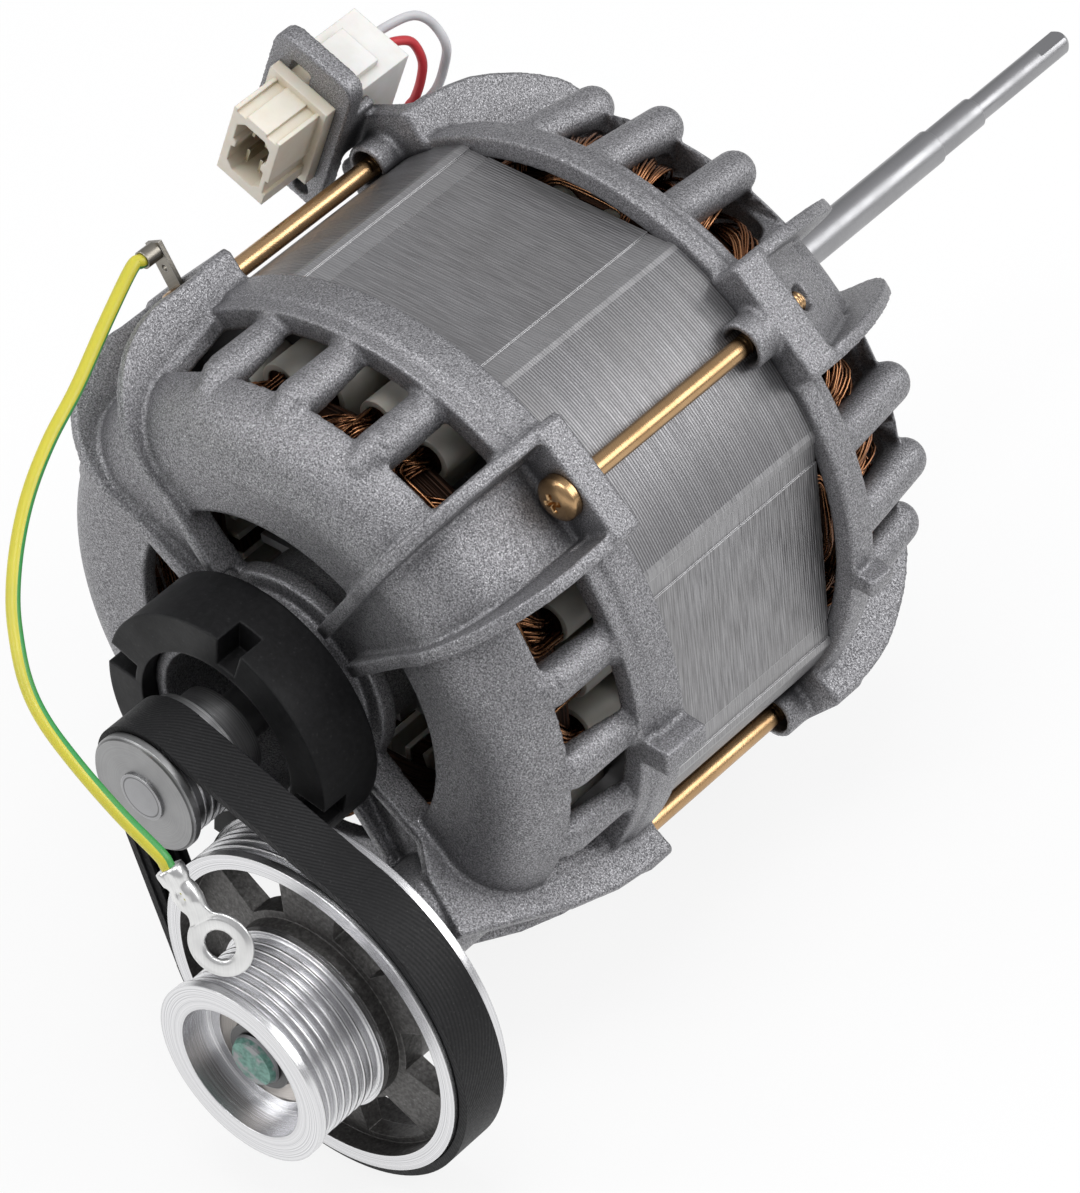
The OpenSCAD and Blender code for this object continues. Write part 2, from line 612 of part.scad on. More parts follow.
// rings stay square to the path; ref fixes how they are turned
module swept(p, r, n, ref) {
    m = len(p);
    pts = [for (i = [0:m - 1]) let (t = tangent(p, i), f = ref(p[i]), a = unit(f - (f * t) * t), b = cross(t, a)) each
        [for (k = [0:n - 1]) p[i] + r * (cos(360 * k / n) * a + sin(360 * k / n) * b)]];
    faces = concat([[for (k = [0:n - 1]) k]],
        [for (i = [0:m - 2]) for (k = [0:n - 1]) let (a = i * n + k, b = i * n + (k + 1) % n)
            each [[a, a + n, b + n], [a, b + n, b]]],
        [[for (k = [n - 1:-1:0]) (m - 1) * n + k]]);
    polyhedron(points = pts, faces = faces, convexity = 8);
}
function self_gap(p, d) = min([for (i = [0:len(p) - 8]) for (j = [i + 7:len(p) - 1]) norm(p[i] - p[j])]) - d;
front_r = coil_front_out + 0.25 + loop_d / 2;
rear_r = coil_out + 0.25 + loop_d / 2;
front_y = fy1 - collar_front - 0.3;
loops_front = [for (q = [0:3]) for (k = [0:2]) loop_pts(q * 90 + 45, 11 + 14 * k, front_y - 4.8 - 2.25 * k, front_y, -1, front_r)];
loops_rear = [for (q = [0:3]) for (k = [0:2]) loop_pts(q * 90, 11 + 14 * k, ry0 + 5.2 + 2.7 * k, ry0, 1, rear_r)];
echo(least_loop_gap = min([for (p = concat(loops_front, loops_rear)) self_gap(p, loop_d)]));
module winding_front() {
    color([0.72, 0.40, 0.20])
    for (p = loops_front) {
        swept(p, loop_d / 2, 6, function(q) [q[0], 0, q[2]]);
    }
}
module winding_rear() {
    color([0.72, 0.40, 0.20])
    for (p = loops_rear) {
        swept(p, loop_d / 2, 6, function(q) [q[0], 0, q[2]]);
    }
}
module rotor_core() {
    color([0.58, 0.59, 0.6])
    at_y(fy1 + 0.5) tube(core_bore / 2 - air_gap, spine_d / 2, core_len - 1);
}
module rotor_rings() {
    color([0.8, 0.8, 0.81]) {
        rotor_ring(fy1 + 0.5 - 6);
        mirror_ring();
    }
}
module rotor_ring(y) {
    at_y(y) {
        tube(core_bore / 2 - air_gap - 1.2, core_bore / 2 - 11, 6);
    }
    for (k = [0:7]) {
        spin(k * 45) translate([core_bore / 2 - 10, y - 4, -0.8]) cube([7.5, 5, 1.6]);
    }
}
module mirror_ring() {
    translate([0, fy1 + ry0, 0]) mirror([0, 1, 0]) rotor_ring(fy1 + 0.5 - 6);
}
module shaft() {
    color([0.74, 0.75, 0.76])
    difference() {
        union() {
            at_y(shaft_y0) cylinder(d = shaft_front_d, h = fbrg_y - 1 - shaft_y0);
            at_y(fbrg_y - 1) cylinder(d = brg_id, h = rbrg_y + brg_w + 2.5 - fbrg_y);
            at_y(fbrg_y + brg_w) cylinder(d = spine_d, h = rbrg_y - fbrg_y - brg_w);
            at_y(rbrg_y + brg_w + 1.4) cylinder(d = shaft_rear_d, h = sy1 - rbrg_y - brg_w - 1.4);
            at_y(sy1 - 0.01) cylinder(d = shaft_rear2_d, h = sy2 - sy1 + 0.01);
            at_y(sy2 - 0.01) cylinder(d = shaft_rear3_d, h = sy3 - sy2 - 0.69);
            at_y(sy3 - 0.7) cylinder(r1 = shaft_rear3_d / 2, r2 = shaft_rear3_d / 2 - 0.5, h = 0.7);
        }
        translate([-3, sy3 - tip_flat_len, shaft_rear3_d / 2 - tip_flat_depth]) cube([6, tip_flat_len + 1, 3]);
    }
}
// ball bearing rings, lying along local z from 0 to w
module outer_ring(od, id, w, pr, br) {
    rotate_extrude() difference() {
        translate([od / 2 - (od - id) / 8, 0]) square([(od - id) / 8, w]);
        translate([pr, w / 2]) circle(r = br + run_gap, $fn = 48);
    }
}
module inner_ring(od, id, w, pr, br) {
    rotate_extrude() difference() {
        translate([id / 2, 0]) square([(od - id) / 8, w]);
        translate([pr, w / 2]) circle(r = br + run_gap, $fn = 48);
    }
}
module balls(w, pr, br) {
    for (k = [0:ball_n - 1]) {
        rotate([0, 0, k * 360 / ball_n]) translate([pr, 0, w / 2]) sphere(r = br, $fn = 48);
    }
}
// two thin covers held in the outer ring
module covers(od, id, w) {
    ro = od / 2 - (od - id) / 8;
    ri = id / 2 + (od - id) / 8 + 0.3;
    translate([0, 0, 0.25]) tube(ro, ri, 0.4);
    translate([0, 0, w - 0.65]) tube(ro, ri, 0.4);
}
module bearing_outers() {
    color([0.78, 0.79, 0.8]) {
        at_y(fbrg_y) outer_ring(brg_od, brg_id, brg_w, brg_pr, ball_r);
        at_y(rbrg_y) outer_ring(brg_od, brg_id, brg_w, brg_pr, ball_r);
    }
}
module bearing_inners() {
    color([0.8, 0.81, 0.82]) {
        at_y(fbrg_y) inner_ring(brg_od, brg_id, brg_w, brg_pr, ball_r);
        at_y(rbrg_y) inner_ring(brg_od, brg_id, brg_w, brg_pr, ball_r);
    }
}
module bearing_balls() {
    color([0.85, 0.86, 0.87]) {
        at_y(fbrg_y) balls(brg_w, brg_pr, ball_r);
        at_y(rbrg_y) balls(brg_w, brg_pr, ball_r);
    }
}
module bearing_covers() {
    color([0.5, 0.5, 0.52]) {
        at_y(fbrg_y) covers(brg_od, brg_id, brg_w);
        at_y(rbrg_y) covers(brg_od, brg_id, brg_w);
    }
}
module rubber_ring() {
    color([0.12, 0.12, 0.13])
    difference() {
        at_y(-rubber_w / 2) tube(rubber_d / 2, tube_d / 2, rubber_w);
        for (k = [0:3]) {
            spin(74 + 90 * k) intersection() {
                translate([0, -rubber_w / 2 - 1, 0]) along() tube(rubber_d / 2 + 1, tube_d / 2 + 1.3, notch_d + 1);
                rotate([90, 0, 0]) translate([0, 0, -20]) linear_extrude(40)
                    polygon([[0, 0], [60, -60 * tan(notch_a / 2)], [60, 60 * tan(notch_a / 2)]]);
            }
        }
    }
}
// V grooves seen in section: x outwards from the crest radius, y along the shaft
module grooves_2d(r, y0, n) {
    for (k = [0:n - 1]) {
        translate([r, y0 + (k + 0.5) * rib_pitch]) polygon([[0.5, -rib_pitch / 2 + 0.12], [0.5, rib_pitch / 2 - 0.12],
            [0, rib_pitch / 2 - 0.2], [-groove_d, 0.16], [-groove_d, -0.16], [0, -rib_pitch / 2 + 0.2]]);
    }
}
module motor_pulley() {
    color([0.72, 0.73, 0.74])
    along() rotate_extrude() difference() {
        polygon([[shaft_front_d / 2, by0], [small_r, by0], [small_r, by1], [small_r + 0.7, by1], [small_r + 0.7, by1 + 1.6],
            [small_r - 1.4, by1 + 1.6], [small_r - 1.4, -tube_reach - 1.5], [shaft_front_d / 2, -tube_reach - 1.5]]);
        grooves_2d(small_r, -belt_y - belt_ribs * rib_pitch / 2, belt_ribs);
    }
}
module pulley_disc() {
    color([0.6, 0.6, 0.61])
    along() rotate_extrude() polygon([[shaft_front_d / 2, by0], [shaft_front_d / 2, by0 - disc_t],
        [disc_d / 2 - 0.5, by0 - disc_t], [disc_d / 2, by0 - disc_t + 0.5], [disc_d / 2, by0]]);
}
// belt section: back at belt_up over the rib roots, ribs pointing inwards; g thins it all round
module belt_2d(r, g) {
    x0 = r + belt_gap * 2;
    difference() {
        translate([x0 - groove_d * 0.8 + g, -belt_y - belt_w / 2 + g])
            square([belt_up + groove_d * 0.8 - 2 * g, belt_w - 2 * g]);
        for (k = [0:belt_ribs]) {
            translate([x0, -belt_y + (k - belt_ribs / 2) * rib_pitch])
                polygon([[g, -rib_gap - g], [g, rib_gap + g], [-groove_d, rib_gap + 0.44 + g], [-groove_d, -rib_gap - 0.44 - g]]);
        }
        for (k = [-1, 1]) {
            translate([x0 - groove_d, -belt_y + k * (belt_ribs * rib_pitch / 2 + 0.5) - 0.5]) square([groove_d + g, 1]);
        }
    }
}
// two arcs round the pulleys; the straight runs reach half a millimetre into them
module drive_belt() {
    b = asin((large_r - small_r) / lay_r);
    run = lay_r * cos(b) + 1;
    color([0.13, 0.13, 0.14])
    spin(lay_a) union() {
        along() rotate([0, 0, 90 + b]) rotate_extrude(angle = 180 - 2 * b) belt_2d(small_r, 0);
        translate([lay_r, 0, 0]) along() rotate([0, 0, -90 - b]) rotate_extrude(angle = 180 + 2 * b) belt_2d(large_r, 0);
        spin(90 + b) translate([0, 0, 0.5 - run]) linear_extrude(run) belt_2d(small_r, 0.03);
        spin(-90 - b) translate([0, 0, -0.5]) linear_extrude(run) belt_2d(small_r, 0.03);
    }
}
module double_pulley() {
    color([0.74, 0.75, 0.76])
    at_lay(0) difference() {
        rotate_extrude() difference() {
            polygon([[lay_brg_od / 2 - 1.5, drum_y0], [drum_flange_d / 2, drum_y0], [drum_flange_d / 2, drum_y0 + drum_flange_w],
                [drum_r, drum_y0 + drum_flange_w], [drum_r, drum_y0 + drum_w - drum_flange_w],
                [drum_flange_d / 2, drum_y0 + drum_w - drum_flange_w], [drum_flange_d / 2, rim_y0 + 2.4],
                [large_r - 2.7, rim_y0 + 3.4], [large_r - 2.7, rim_y0], [large_r, rim_y0], [large_r, by1],
                [large_r + 0.7, by1], [large_r + 0.7, by1 + 1.6], [large_r - 2.7, by1 + 1.6], [large_r - 2.7, rim_y0 + 6.4],
                [drum_flange_d / 2, rim_y0 + 6.4], [drum_flange_d / 2, by1 + 1.6], [lay_brg_od / 2 - 1.5, by1 + 1.6]]);
            grooves_2d(drum_r, drum_y0 + drum_flange_w, drum_grooves);
            grooves_2d(large_r, -belt_y - belt_ribs * rib_pitch / 2, belt_ribs);
        }
        translate([0, 0, drum_y0 - 1]) cylinder(d = recess_d, h = recess_depth + 1);
        translate([0, 0, lay_brg_y - 1]) cylinder(d = lay_brg_od, h = lay_brg_w + 1);
        translate([0, 0, lay_brg2_y]) cylinder(d = lay_brg_od, h = lay_brg_w + 1);
        for (k = [0:spoke_n - 1]) {
            rotate([0, 0, k * 360 / spoke_n]) translate([0, 0, rim_y0 + 1]) linear_extrude(8) intersection() {
                difference() {
                    circle(r = large_r - 3.9);
                    circle(r = drum_flange_d / 2 + 1.2);
                }
                polygon([[8, -0.1], [40, -14], [40, 14], [8, 0.1]]);
            }
        }
    }
}
module lay_outers() {
    color([0.78, 0.79, 0.8]) {
        at_lay(lay_brg_y) outer_ring(lay_brg_od, lay_brg_id, lay_brg_w, lay_pr, lay_ball_r);
        at_lay(lay_brg2_y) outer_ring(lay_brg_od, lay_brg_id, lay_brg_w, lay_pr, lay_ball_r);
    }
}
module lay_inners() {
    color([0.8, 0.81, 0.82]) {
        at_lay(lay_brg_y) inner_ring(lay_brg_od, lay_brg_id, lay_brg_w, lay_pr, lay_ball_r);
        at_lay(lay_brg2_y) inner_ring(lay_brg_od, lay_brg_id, lay_brg_w, lay_pr, lay_ball_r);
    }
}
module lay_balls() {
    color([0.85, 0.86, 0.87]) {
        at_lay(lay_brg_y) balls(lay_brg_w, lay_pr, lay_ball_r);
        at_lay(lay_brg2_y) balls(lay_brg_w, lay_pr, lay_ball_r);
    }
}
module lay_covers() {
    color([0.5, 0.5, 0.52]) {
        at_lay(lay_brg_y) covers(lay_brg_od, lay_brg_id, lay_brg_w);
        at_lay(lay_brg2_y) covers(lay_brg_od, lay_brg_id, lay_brg_w);
    }
}
module lay_spacer() {
    color([0.7, 0.7, 0.72])
    at_lay(lay_brg_y + lay_brg_w) tube(lay_brg_id / 2 + 1.4, lay_brg_id / 2, lay_brg2_y - lay_brg_y - lay_brg_w);
}
// plain spindle with a shoulder in front of the boss, riveted over a washer at its front
module lay_shaft() {
    color([0.66, 0.67, 0.68])
    at_lay(0) {
        translate([0, 0, lay_brg_y - 1.6]) cylinder(d = lay_brg_id, h = by1 + 18 - lay_brg_y + 1.6);
        translate([0, 0, lay_brg2_y + lay_brg_w]) cylinder(d = lay_brg_id + 3, h = by1 + 2.6 - lay_brg2_y - lay_brg_w);
        translate([0, 0, lay_brg_y - 3]) cylinder(r1 = lay_head_d / 2 - 0.6, r2 = lay_head_d / 2, h = 1.4);
    }
}
module lay_washer() {
    color([0.45, 0.45, 0.47])
    at_lay(lay_brg_y - 1.2) tube(lay_brg_id / 2 + 1.9, lay_brg_id / 2, 1.2);
}
// the bolt at 135 degrees sits on the earth eyelet
module tie_bolts() {
    color([0.72, 0.56, 0.28])
    for (q = [0:3]) {
        spin(45 + 90 * q) translate([rod_r, 0, 0]) tie_bolt(q == 1 ? seat_y - tab_t : seat_y);
    }
}
module tie_bolt(hy) {
    at_y(hy - 0.01) cylinder(d = rod_d, h = rod_y1 - hy - 0.59);
    at_y(rod_y1 - 0.6) cylinder(r1 = rod_d / 2, r2 = rod_d / 2 - 0.6, h = 0.6);
    difference() {
        union() {
            at_y(hy - head_h * 0.55) cylinder(d = head_d, h = head_h * 0.55);
            at_y(hy - head_h) cylinder(r1 = head_d / 2 - 1.4, r2 = head_d / 2, h = head_h * 0.45);
        }
        for (k = [0:1]) {
            spin(90 * k) translate([-2, hy - head_h - 1, -0.4]) cube([4, 2.4, 0.8]);
        }
    }
}
// eyelet clamped under the head of one tie bolt, its strip reaching out of the pocket
module earth_tab() {
    color([0.8, 0.76, 0.64])
    translate(tab_o) spin(tab_a) difference() {
        union() {
            at_y(-tab_t) cylinder(d = head_d + 0.6, h = tab_t);
            translate([0, -tab_t, -1.7]) cube([tab_reach + 1.4, tab_t, 3.4]);
        }
        at_y(-tab_t - 1) cylinder(d = rod_d + 0.3, h = tab_t + 2);
        translate([tab_reach - 3.2, -tab_t - 1, 0]) along() cylinder(d = 1.2, h = tab_t + 2);
    }
}
module earth_sleeve() {
    color([0.62, 0.6, 0.54])
    translate(tab_o) spin(tab_a) translate([tab_reach, -tab_t - sleeve_len, 0]) along() difference() {
        cylinder(r = earth_d / 2 + 0.4, h = sleeve_len);
        translate([0, 0, -1]) cylinder(r = earth_d / 2 + 0.03, h = sleeve_len);
    }
}
// a smooth line through route points, n steps between neighbours
function cr(a, b, c, d, t) = 0.5 * (2 * b + (c - a) * t + (2 * a - 5 * b + 4 * c - d) * t * t + (3 * b - a - 3 * c + d) * t * t * t);
function smooth(p, n) = concat([for (i = [0:len(p) - 2]) for (k = [0:n - 1])
    cr(p[max(i - 1, 0)], p[i], p[i + 1], p[min(i + 2, len(p) - 1)], k / n)], [p[len(p) - 1]]);
wire_start = tab_o + (tab_reach) * [cos(tab_a), 0, sin(tab_a)];
earth_route = concat(
    [for (y = [1.3, sleeve_len / 2 + 0.7, sleeve_len + 0.3, sleeve_len + 2.4]) wire_start - [0, tab_t + y, 0]],
    wire_mid,
    [for (x = [16.5, 14, 8.4]) eye_o + x * [cos(eye_a), 0, sin(eye_a)]]);
earth_line = smooth(earth_route, 3);
echo(earth_wire_length = sum_len(earth_line), rings = len(earth_line));
function sum_len(p) = sum_to(p, len(p) - 1);
function sum_to(p, i) = i < 1 ? 0 : norm(p[i] - p[i - 1]) + sum_to(p, i - 1);
module earth_wire() {
    color([0.45, 0.68, 0.25])
    swept(earth_line, earth_d / 2, 8, function(q) [1, 0, 1]);
}
module ring_terminal() {
    color([0.86, 0.86, 0.85])
    translate(eye_o) spin(eye_a) {
        at_y(-eye_t / 2) tube(eye_d / 2, eye_hole_d / 2, eye_t);
        translate([eye_d / 2 - 0.5, -eye_t / 2, -1.7]) cube([7.6 - eye_d / 2 + 0.5, eye_t, 3.4]);
        rotate([0, 90, 0]) difference() {
            translate([0, 0, 7.2]) cylinder(r = earth_d / 2 + 0.7, h = 6.8);
            translate([0, 0, 8]) cylinder(r = earth_d / 2 + 0.03, h = 8);
        }
    }
}
// mouth of the socket: eight-sided, with two keys
module mouth_2d() {
    w = sock_w / 2 - 1.5;
    h = sock_h / 2 - 2;
    polygon([[-w, -h + 1.4], [-w + 1.4, -h], [w - 1.4, -h], [w, -h + 1.4], [w, -1], [w - 0.7, -0.6], [w - 0.7, 0.6], [w, 1],
        [w, h - 1.4], [w - 1.4, h], [-w + 1.4, h], [-w, h - 1.4], [-w, 1], [-w + 0.7, 0.6], [-w + 0.7, -0.6], [-w, -1]]);
}
// socket through the frame: a housing with one mouth, a raised panel on top between two channels
module connector_socket() {
    color([0.92, 0.9, 0.84])
    frame_axes() difference() {
        union() {
            translate([-sock_w / 2 + 0.05, -sock_len, -sock_h / 2 + 0.05]) cube([sock_w - 0.1, sock_len + frame_t, sock_h - 0.1]);
            translate([-sock_w / 2 - 1.2, -2.2, -sock_h / 2 - 1.2]) cube([sock_w + 2.4, 2.2, sock_h + 2.4]);
        }
        translate([0, -1.6, 0]) rotate([90, 0, 0]) linear_extrude(sock_len) mouth_2d();
        for (u = [-sock_w / 2 + 0.8, sock_w / 2 - 2.8]) {
            translate([u, -sock_len - 1, sock_h / 2 - 0.7]) cube([2, sock_len - 1.2, 2]);
        }
        translate([sock_w / 2 - 0.6, -sock_len - 1, -sock_h / 2 + 2.6]) cube([2, sock_len - 1.2, 3.2]);
    }
}
module contacts() {
    color([0.7, 0.66, 0.55])
    frame_axes() {
        for (s = [-1, 1]) {
            for (k = [-1, 1]) {
                translate([k * 1.4 - 0.3, -sock_len + 2.2, s * (sock_h / 4 - 0.7) - 1.5]) cube([0.6, sock_len - 4.1, 3]);
            }
        }
    }
}
module connector_plug() {
    color([0.9, 0.9, 0.89])
    frame_axes() difference() {
        union() {
            translate([-plug_w / 2, frame_t, -plug_h / 2]) cube([plug_w, plug_len, plug_h]);
            translate([-plug_w / 2 + 2, frame_t + 2, plug_h / 2 - 0.01]) cube([plug_w - 4, 7, 1.4]);
        }
        translate([red_u, frame_t + plug_len, red_v]) along() translate([0, 0, -4]) cylinder(d = lead_d + 0.1, h = 5);
        translate([grey_u, frame_t + plug_len, grey_v]) along() translate([0, 0, -4]) cylinder(d = lead_d + 0.1, h = 5);
    }
}
function frame_pt(u, y, v) = frame_o + [u * cos(23) + v * sin(23), y, v * cos(23) - u * sin(23)];
// s outwards along corner A, t along the ear, y along the shaft behind the core
function corner_pt(s, t, y) = [(t - s) * 0.70711, ry0 + y, (t + s) * 0.70711];
red_line = smooth(concat(
    [for (y = [-3.9, 0.1, 2.4]) frame_pt(red_u, frame_t + plug_len + y, red_v)],
    [corner_pt(rod_r + 11.9, -2.2, 17.4), corner_pt(rod_r + 8.5, -4, 18.3), corner_pt(rod_r + 6, -6.9, 17.8),
     corner_pt(rod_r + 4.1, -10.4, 17), corner_pt(rod_r + 3.2, -12.6, 15.8), corner_pt(rod_r - 0.9, -13.6, 12.2)],
    [for (h = [4.4, 2.2, 0.2]) coil_pt(h, red_a)]), 3);
grey_line = smooth(concat(
    [for (y = [-3.9, 0.1, 2.8]) frame_pt(grey_u, frame_t + plug_len + y, grey_v)],
    [corner_pt(rod_r + 15.6, 0.3, 17.6), corner_pt(rod_r + 14.3, 1.2, 19.5), corner_pt(rod_r + 11.7, 0.7, 21),
     corner_pt(rod_r + 8, -0.6, 21.4), corner_pt(rod_r + 5.2, -4.6, 21), corner_pt(rod_r + 3.3, -8, 19.9),
     corner_pt(rod_r + 1.9, -12, 17.6), corner_pt(rod_r - 2.2, -15.4, 14)],
    [for (h = [4.4, 2.2, 0.2]) coil_pt(h, grey_a)]), 3);
function coil_pt(h, a) = [(coil_out + h) * cos(a), ry0 + collar_rear + 3.1 + 0.12 * h * h, (coil_out + h) * sin(a)];
echo(red_lead_length = sum_len(red_line), grey_lead_length = sum_len(grey_line));
module lead_red() {
    color([0.75, 0.1, 0.12])
    swept(red_line, lead_d / 2, 8, function(q) [-1, 0, -0.24]);
}
module lead_grey() {
    color([0.78, 0.78, 0.8])
    swept(grey_line, lead_d / 2, 8, function(q) [-1, 0, -0.24]);
}
front_shield();
rear_shield();
stator_core();
slot_liners();
winding_body();
winding_front();
winding_rear();
rotor_core();
rotor_rings();
shaft();
bearing_outers();
bearing_inners();
bearing_balls();
bearing_covers();
rubber_ring();
motor_pulley();
pulley_disc();
drive_belt();
double_pulley();
lay_outers();
lay_inners();
lay_balls();
lay_covers();
lay_shaft();
lay_spacer();
lay_washer();
tie_bolts();
earth_tab();
earth_sleeve();
earth_wire();
ring_terminal();
connector_socket();
connector_plug();
contacts();
lead_red();
lead_grey();
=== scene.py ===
# %% [markdown]
# A washing machine motor with its belt drive, dressed for the picture.
# The solids come from the imported CAD model, which already stands in the right place and in metres,
# so the first step is only to load them.

# %% Load the imported model
import bpy
import math
import random
from mathutils import Matrix, Vector


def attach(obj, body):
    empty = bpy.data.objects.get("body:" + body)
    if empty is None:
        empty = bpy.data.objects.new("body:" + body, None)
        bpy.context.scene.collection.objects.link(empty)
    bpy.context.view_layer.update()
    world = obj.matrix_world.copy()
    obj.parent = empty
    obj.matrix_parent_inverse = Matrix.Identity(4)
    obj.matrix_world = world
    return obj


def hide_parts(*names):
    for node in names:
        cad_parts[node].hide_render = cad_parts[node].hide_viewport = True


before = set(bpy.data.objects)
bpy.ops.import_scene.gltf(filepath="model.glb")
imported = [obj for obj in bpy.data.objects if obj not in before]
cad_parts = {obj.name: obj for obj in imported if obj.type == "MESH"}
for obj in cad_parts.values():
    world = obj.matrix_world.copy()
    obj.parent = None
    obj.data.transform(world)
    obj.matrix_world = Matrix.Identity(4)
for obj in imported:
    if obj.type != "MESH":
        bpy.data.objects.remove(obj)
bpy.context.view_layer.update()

for left_over in ("Cube", "Light", "Camera"):
    if left_over in bpy.data.objects:
        bpy.data.objects.remove(bpy.data.objects[left_over])

# %% [markdown]
# The camera stands about a metre away, up to the right of the pulleys, with a long lens and a slight tilt.
# It could be aimed with a constraint, but three angles and a place say the same thing exactly:
# azimuth and elevation give the line of sight, and the roll turns the picture round it.

# %% Camera
scene = bpy.context.scene
AZIMUTH, ELEVATION, ROLL = (math.radians(a) for a in (45.14, 41.68, -6.49))
CAMERA_PLACE = Vector((0.5593, -0.4897, 0.6776))
LENS_MM, SENSOR_MM = 197.76, 36


def aim(azimuth, elevation, roll):
    """The camera's axes as a rotation: right, up and backwards."""
    sight = Vector((-math.sin(azimuth) * math.cos(elevation), math.cos(azimuth) * math.cos(elevation),
                    -math.sin(elevation)))
    level = Vector((math.cos(azimuth), math.sin(azimuth), 0))
    upward = level.cross(sight)
    right = math.cos(roll) * level + math.sin(roll) * upward
    up = -math.sin(roll) * level + math.cos(roll) * upward
    return Matrix((right, up, -sight)).transposed()


def new_object(name, data):
    """An object in the scene that shows a mesh, a lamp or a camera."""
    made = bpy.data.objects.new(name, data)
    scene.collection.objects.link(made)
    return made


camera = new_object("camera", bpy.data.cameras.new("camera"))
camera.matrix_world = Matrix.Translation(CAMERA_PLACE) @ aim(AZIMUTH, ELEVATION, ROLL).to_4x4()
camera.data.lens = LENS_MM
camera.data.sensor_width = SENSOR_MM
camera.data.clip_start, camera.data.clip_end = 0.05, 20
scene.camera = camera
print("camera at", [round(v, 3) for v in camera.location])

# %% [markdown]
# Most new pieces are built from three simple ideas: a tube along a line, a profile turned about an axis,
# and rings of points with faces between them. They are written once here, in millimetres,
# because that is how the drawing is dimensioned, and a single factor brings them to metres.

# %% Mesh helpers
MM = 0.001


def mesh_object(name, points, faces, smooth=True):
    """A mesh from points in millimetres."""
    mesh = bpy.data.meshes.new(name)
    mesh.from_pydata([(x * MM, y * MM, z * MM) for x, y, z in points], [], faces)
    mesh.validate()
    if smooth:
        mesh.shade_smooth()
    return new_object(name, mesh)


def piece(name, points, faces, body, slot, stands_for):
    """A mesh that rides on a body and stands for CAD nodes; its slot argument is not used."""
    made = mesh_object(name, points, faces)
    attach(made, body)
    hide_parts(*stands_for)
    return made


def between(a, b, c, d, t):
    """A point of the smooth line between b and c."""
    return 0.5 * (2 * b + (c - a) * t + (2 * a - 5 * b + 4 * c - d) * t * t + (3 * b - a - 3 * c + d) * t ** 3)


def smooth_line(points, steps):
    """More points on a smooth line through the given ones."""
    p = [Vector(q) for q in points]
    line = []
    for i in range(len(p) - 1):
        for k in range(steps):
            line.append(between(p[max(i - 1, 0)], p[i], p[i + 1], p[min(i + 2, len(p) - 1)], k / steps))
    return line + [p[-1]]


def line_length(line):
    """The length of a line of points, in millimetres."""
    return sum((b - a).length for a, b in zip(line, line[1:]))


def ring_frames(line, first_side):
    """Two directions across the line at each of its points, without twist."""
    side = Vector(first_side)
    frames = []
    for i, point in enumerate(line):
        ahead = (line[min(i + 1, len(line) - 1)] - line[max(i - 1, 0)]).normalized()
        side = (side - side.dot(ahead) * ahead).normalized()
        frames.append((point, side, ahead.cross(side)))
    return frames


def ring_faces(rings, sides, first_cap=True, last_cap=True):
    """Faces between rings of equally many points, with a face over the first and the last ring."""
    faces = []
    for i in range(rings - 1):
        for k in range(sides):
            n = (k + 1) % sides
            faces.append([i * sides + k, i * sides + n, (i + 1) * sides + n, (i + 1) * sides + k])
    if first_cap:
        faces.append(list(range(sides))[::-1])
    if last_cap:
        faces.append([(rings - 1) * sides + k for k in range(sides)])
    return faces


def tube_mesh(line, radius, sides, first_side=(0.31, 0.9, 0.2)):
    """Points and faces of a closed tube along a line."""
    points = []
    for centre, a, b in ring_frames(line, first_side):
        for k in range(sides):
            turn = 2 * math.pi * k / sides
            points.append(centre + radius * (math.cos(turn) * a + math.sin(turn) * b))
    return points, ring_faces(len(line), sides)


def turned_mesh(profile, steps, centre):
    """A closed profile of (radius, y) corners turned about an axis along Y."""
    points, faces = [], []
    n = len(profile)
    for i in range(steps):
        turn = 2 * math.pi * i / steps
        for r, y in profile:
            points.append((centre[0] + r * math.cos(turn), y, centre[1] + r * math.sin(turn)))
    for i in range(steps):
        for k in range(n):
            m, j = (k + 1) % n, (i + 1) % steps
            faces.append([i * n + k, j * n + k, j * n + m, i * n + m])
    return points, faces


class Heap:
    """Collects several small meshes as one."""

    def __init__(self):
        self.points, self.faces = [], []

    def add(self, made):
        points, faces = made
        offset = len(self.points)
        self.points += points
        self.faces += [[f + offset for f in face] for face in faces]


print("helpers: tube, turned profile, rings, heap")

# %% [markdown]
# The earth wire is the one free cord. It leaves the spade tab at the upper left corner, falls past the
# front of the motor and ends in a ring terminal in front of the small grooved drum.
# Both of its ends are in the picture, so the line through the CAD route gives its whole length.

# %% Earth wire
# the seat of the bolt heads, and the tab under one of them: its thickness, crimp and reach
SEAT_Y, TAB_THICK, CRIMP, TAB_REACH = 36.0, 0.8, 3.0, 10.6
EARTH_D, EARTH_SIDES = 2.3, 24
TAB_CENTRE = Vector((-38.467, SEAT_Y, 38.467))
TAB_TURN = math.radians(118)
EYE_CENTRE, EYE_TURN = Vector((30.6, -38, -1.1)), math.radians(129)
wire_start = TAB_CENTRE + TAB_REACH * Vector((math.cos(TAB_TURN), 0, math.sin(TAB_TURN)))
eye_axis = Vector((math.cos(EYE_TURN), 0, math.sin(EYE_TURN)))
earth_route = [wire_start - Vector((0, TAB_THICK + y, 0)) for y in (1.3, CRIMP / 2 + 0.7, CRIMP + 0.3, CRIMP + 2.4)]
earth_route += [
    (-39, 19, 46.4), (-34, 7, 44.2), (-30.5, -3, 42.4), (-27, -11.4, 40), (-23, -18.6, 37.2), (-18.6, -24.8, 34),
    (-14.6, -29, 31), (-9.2, -33.2, 27.2), (-3.6, -35.6, 23.8), (4, -37, 19.8), (13, -38, 15.6)]
